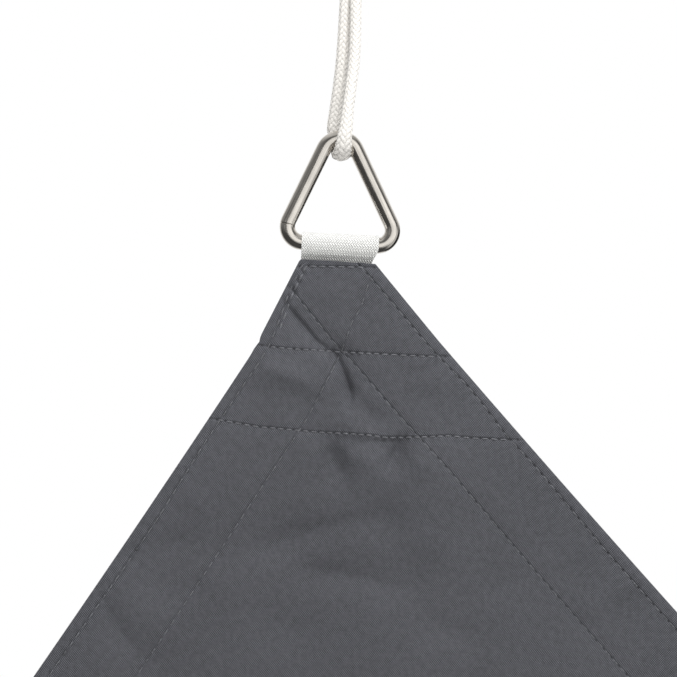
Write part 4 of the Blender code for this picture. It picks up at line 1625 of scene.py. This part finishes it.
class SHADESAIL_OT_patches(bpy.types.Operator):
    """Makes the reinforcing patch behind each corner"""

    bl_idname = "shade_sail.patches"
    bl_label = "Corner patches"

    def execute(self, context):
        settings = context.scene.shade_sail_cloth
        material = cloth_material("patch_cloth", settings, False)
        for number, corner in enumerate(CORNERS):
            u, v = self.places()
            points = cloth_face(*turned(u, v, number))
            down = (u + v) / sqrt(2)
            points[..., 1] += POCKET + (SEWN - POCKET) * smooth_step(down, POCKET_FULL, POCKET_END)
            mesh = grid_mesh("patch", points)
            set_attribute(mesh, "plan", u, v)
            turn_forwards(mesh)
            obj = add_object(f"patch_cloth_{corner}", mesh)
            thicken(obj, PATCH_THICKNESS, -1.0)
            smooth(obj, CLOTH_SHARP)
            finish_piece(obj, material, "patch", f"corner_patch_{corner}")
        return {"FINISHED"}

    @staticmethod
    def places():
        """Places (u, v) of the patch's mesh at the top corner."""
        row = np.linspace(0.0, 1.0, PATCH_ROWS)[:, None]
        column = np.linspace(0.0, 1.0, PATCH_COLUMNS)[None, :]
        top = CUT + PATCH_INSET
        left = top + (PATCH_LEFT - top) * row
        right = top + (PATCH_RIGHT - top) * row
        inset = PATCH_INSET * sqrt(2) / np.hypot(left, right)
        share = inset + (1 - 2 * inset) * column
        return right * share, left * (1 - share)


# ------------------------------------------------------------------------------- stitching

STITCH_FILL = 0.80  # share of the pitch that a stitch's thread shows
STITCH_SINK = 0.00010
# Rings of a stitch: place along it, its thickness, and its height in radii of the thread
STITCH_RINGS = (
    (-0.44, 0.75, -0.5),
    (-0.22, 1.0, 0.55),
    (0.0, 1.05, 0.8),
    (0.22, 1.0, 0.55),
    (0.44, 0.75, -0.5),
)
STITCH_ENDS = ((-0.5, 0.0, -1.6), (0.5, 0.0, -1.6))
CORNER_SIDES, HEM_SIDES = 6, 5
# Thickness of the thread in each kind of row
TOP_THREAD, SEAM_THREADS, OUTER_THREAD, INNER_THREAD, BACKSTITCH_THREAD = 1.2, (1.15, 1.1), 0.95, 0.8, 1.2
SEAM_HOLES = 40  # on each side of a corner's middle, before the edges cut the row off
SEAM_INSET = 0.0022
OUTER_START, INNER_START = 0.020, 0.005  # distance of a hem's rows from its ends


class SHADESAIL_OT_stitching(bpy.types.Operator):
    """Sews every row, front and back, one piece of stitching for each corner and each hem"""

    bl_idname = "shade_sail.stitching"
    bl_label = "Stitching"

    def execute(self, context):
        settings = context.scene.shade_sail_cloth
        material = thread_material(settings)
        for number, corner in enumerate(CORNERS):
            for kind, rows, sides, patched in (
                ("corner", self.corner_rows(), CORNER_SIDES, True),
                ("hem", self.hem_rows(), HEM_SIDES, False),
            ):
                rows = [(*turned(u, v, number), thick) for u, v, thick in rows]
                obj = self.sew(f"stitches_{kind}_{corner}", rows, sides, settings, patched)
                finish_piece(obj, material, "cloth")
        return {"FINISHED"}

    @staticmethod
    def corner_rows():
        """The row across the cut and the two seams, as needle holes (u, v)."""
        aside = np.arange(-SEAM_HOLES, SEAM_HOLES + 1) * SEAM_PITCH
        rows = []
        for drop, thick in (
            (np.full(len(aside), TOP_ROW), TOP_THREAD),
            *((seam_drop(aside, number), thread) for number, thread in enumerate(SEAM_THREADS)),
        ):
            u, v = (drop + aside) / sqrt(2), (drop - aside) / sqrt(2)
            inside = (u > SEAM_INSET) & (v > SEAM_INSET)
            rows.append((u[inside], v[inside], thick))
        return rows

    @staticmethod
    def hem_rows():
        """The rows of the hem that starts at a corner's right, as needle holes (u, v)."""
        rows = []
        for right, left, end, thick in (
            (RIGHT_OUTER, LEFT_OUTER, OUTER_START, OUTER_THREAD),
            (RIGHT_INNER, LEFT_INNER, INNER_START, INNER_THREAD),
        ):
            along = np.arange(round(end / HEM_PITCH), round((SIDE - end) / HEM_PITCH) + 1) * HEM_PITCH
            rows.append((along, inset_of(along, right, left), thick))
        back = SIDE - np.arange(BACKSTITCH_HOLES) * SEAM_PITCH - BACKSTITCH_START
        inset = inset_of(back, RIGHT_OUTER, LEFT_OUTER) + BACKSTITCH_ASIDE
        rows.append((back, inset, BACKSTITCH_THREAD))
        return rows

    def sew(self, name, rows, sides, settings, patched):
        """One stitch from hole to hole on the front, and the same on the back."""
        shape, faces = self.one_stitch(sides)
        points, polygons = [], []
        for u, v, thick in rows:
            radius = settings.stitch_radius * thick
            holes = cloth_face(u, v)
            middle_u, middle_v = (u[1:] + u[:-1]) / 2, (v[1:] + v[:-1]) / 2
            middle = cloth_face(middle_u, middle_v)
            normals = face_normals(middle_u, middle_v)
            for index in range(len(middle)):
                along = holes[index + 1] - holes[index]
                length = np.linalg.norm(along)
                along = along / length
                normal = normals[index] - along * (normals[index] @ along)
                normal /= np.linalg.norm(normal)
                side = np.cross(along, normal)
                for lift, facing in self.lifts(middle_u[index], middle_v[index], settings, patched):
                    local = shape * np.array((length * STITCH_FILL, radius, radius))
                    placed = middle[index] + lift * normal + local[:, :1] * along
                    placed = placed + local[:, 1:2] * side + local[:, 2:] * normal * facing
                    base = len(points) * len(shape)
                    points.append(placed)
                    polygons += [[base + corner for corner in face] for face in faces]
        mesh = bpy.data.meshes.new(name)
        mesh.from_pydata(np.concatenate(points).tolist(), [], polygons)
        obj = add_object(name, mesh)
        obj.data.shade_smooth()
        return obj

    @staticmethod
    def lifts(u, v, settings, patched):
        """Heights over the face of the stitch in front and of the one behind, and where they face."""
        cloth = settings.hem_thickness if edge_distance(u, v) < HEM_WIDTH else settings.thickness
        behind = SEWN + PATCH_THICKNESS if patched else cloth
        return ((-STITCH_SINK, 1.0), (STITCH_SINK - behind, -1.0))

    @staticmethod
    def one_stitch(sides):
        """A short thread, one unit long, that dips at both ends: its points and faces."""
        points = []
        for along, radius, height in STITCH_RINGS:
            for angle in 2 * pi * np.arange(sides) / sides:
                points.append((along, radius * cos(angle), height + radius * sin(angle)))
        first, last = len(points), len(points) + 1
        top = first - sides
        faces = []
        for ring in range(0, top, sides):
            for index in range(sides):
                near, far = ring + index, ring + (index + 1) % sides
                faces.append((near, near + sides, far + sides, far))
        for index in range(sides):
            after = (index + 1) % sides
            faces.append((first, index, after))
            faces.append((last, top + after, top + index))
        return np.array((*points, *STITCH_ENDS)), faces


# ------------------------------------------------------------------------------- panel and running

STEPS = (
    ("shade_sail.stage", "WORLD"),
    ("shade_sail.rope", "CURVE_PATH"),
    ("shade_sail.rings", "MESH_TORUS"),
    ("shade_sail.webbing", "MESH_PLANE"),
    ("shade_sail.cloth", "MESH_GRID"),
    ("shade_sail.patches", "MOD_CLOTH"),
    ("shade_sail.stitching", "DRIVER_DISTANCE"),
)


class SHADESAIL_PT_panel(bpy.types.Panel):
    """Lists the steps of making the sail, with their settings"""

    bl_idname = "SHADESAIL_PT_panel"
    bl_label = "Shade Sail"
    bl_space_type = "VIEW_3D"
    bl_region_type = "UI"
    bl_category = "Shade Sail"

    def draw(self, context):
        for operator, icon in STEPS:
            self.layout.operator(operator, icon=icon)
        for name, group in SETTINGS.items():
            box = self.layout.box()
            settings = getattr(context.scene, name)
            for field in group.__annotations__:
                box.prop(settings, field)


SETTINGS = {
    "shade_sail_cloth": ClothSettings,
    "shade_sail_fittings": FittingSettings,
    "shade_sail_rope": RopeSettings,
    "shade_sail_studio": StudioSettings,
}
CLASSES = (
    *SETTINGS.values(),
    SHADESAIL_OT_stage,
    SHADESAIL_OT_rope,
    SHADESAIL_OT_rings,
    SHADESAIL_OT_webbing,
    SHADESAIL_OT_cloth,
    SHADESAIL_OT_patches,
    SHADESAIL_OT_stitching,
    SHADESAIL_PT_panel,
)


def register():
    for item in CLASSES:
        bpy.utils.register_class(item)
    for name, group in SETTINGS.items():
        setattr(bpy.types.Scene, name, bpy.props.PointerProperty(type=group))


def unregister():
    for name in SETTINGS:
        delattr(bpy.types.Scene, name)
    for item in reversed(CLASSES):
        bpy.utils.unregister_class(item)


def main():
    register()
    for operator, _ in STEPS:
        group, name = operator.split(".")
        getattr(getattr(bpy.ops, group), name)()


if __name__ == "__main__":
    main()
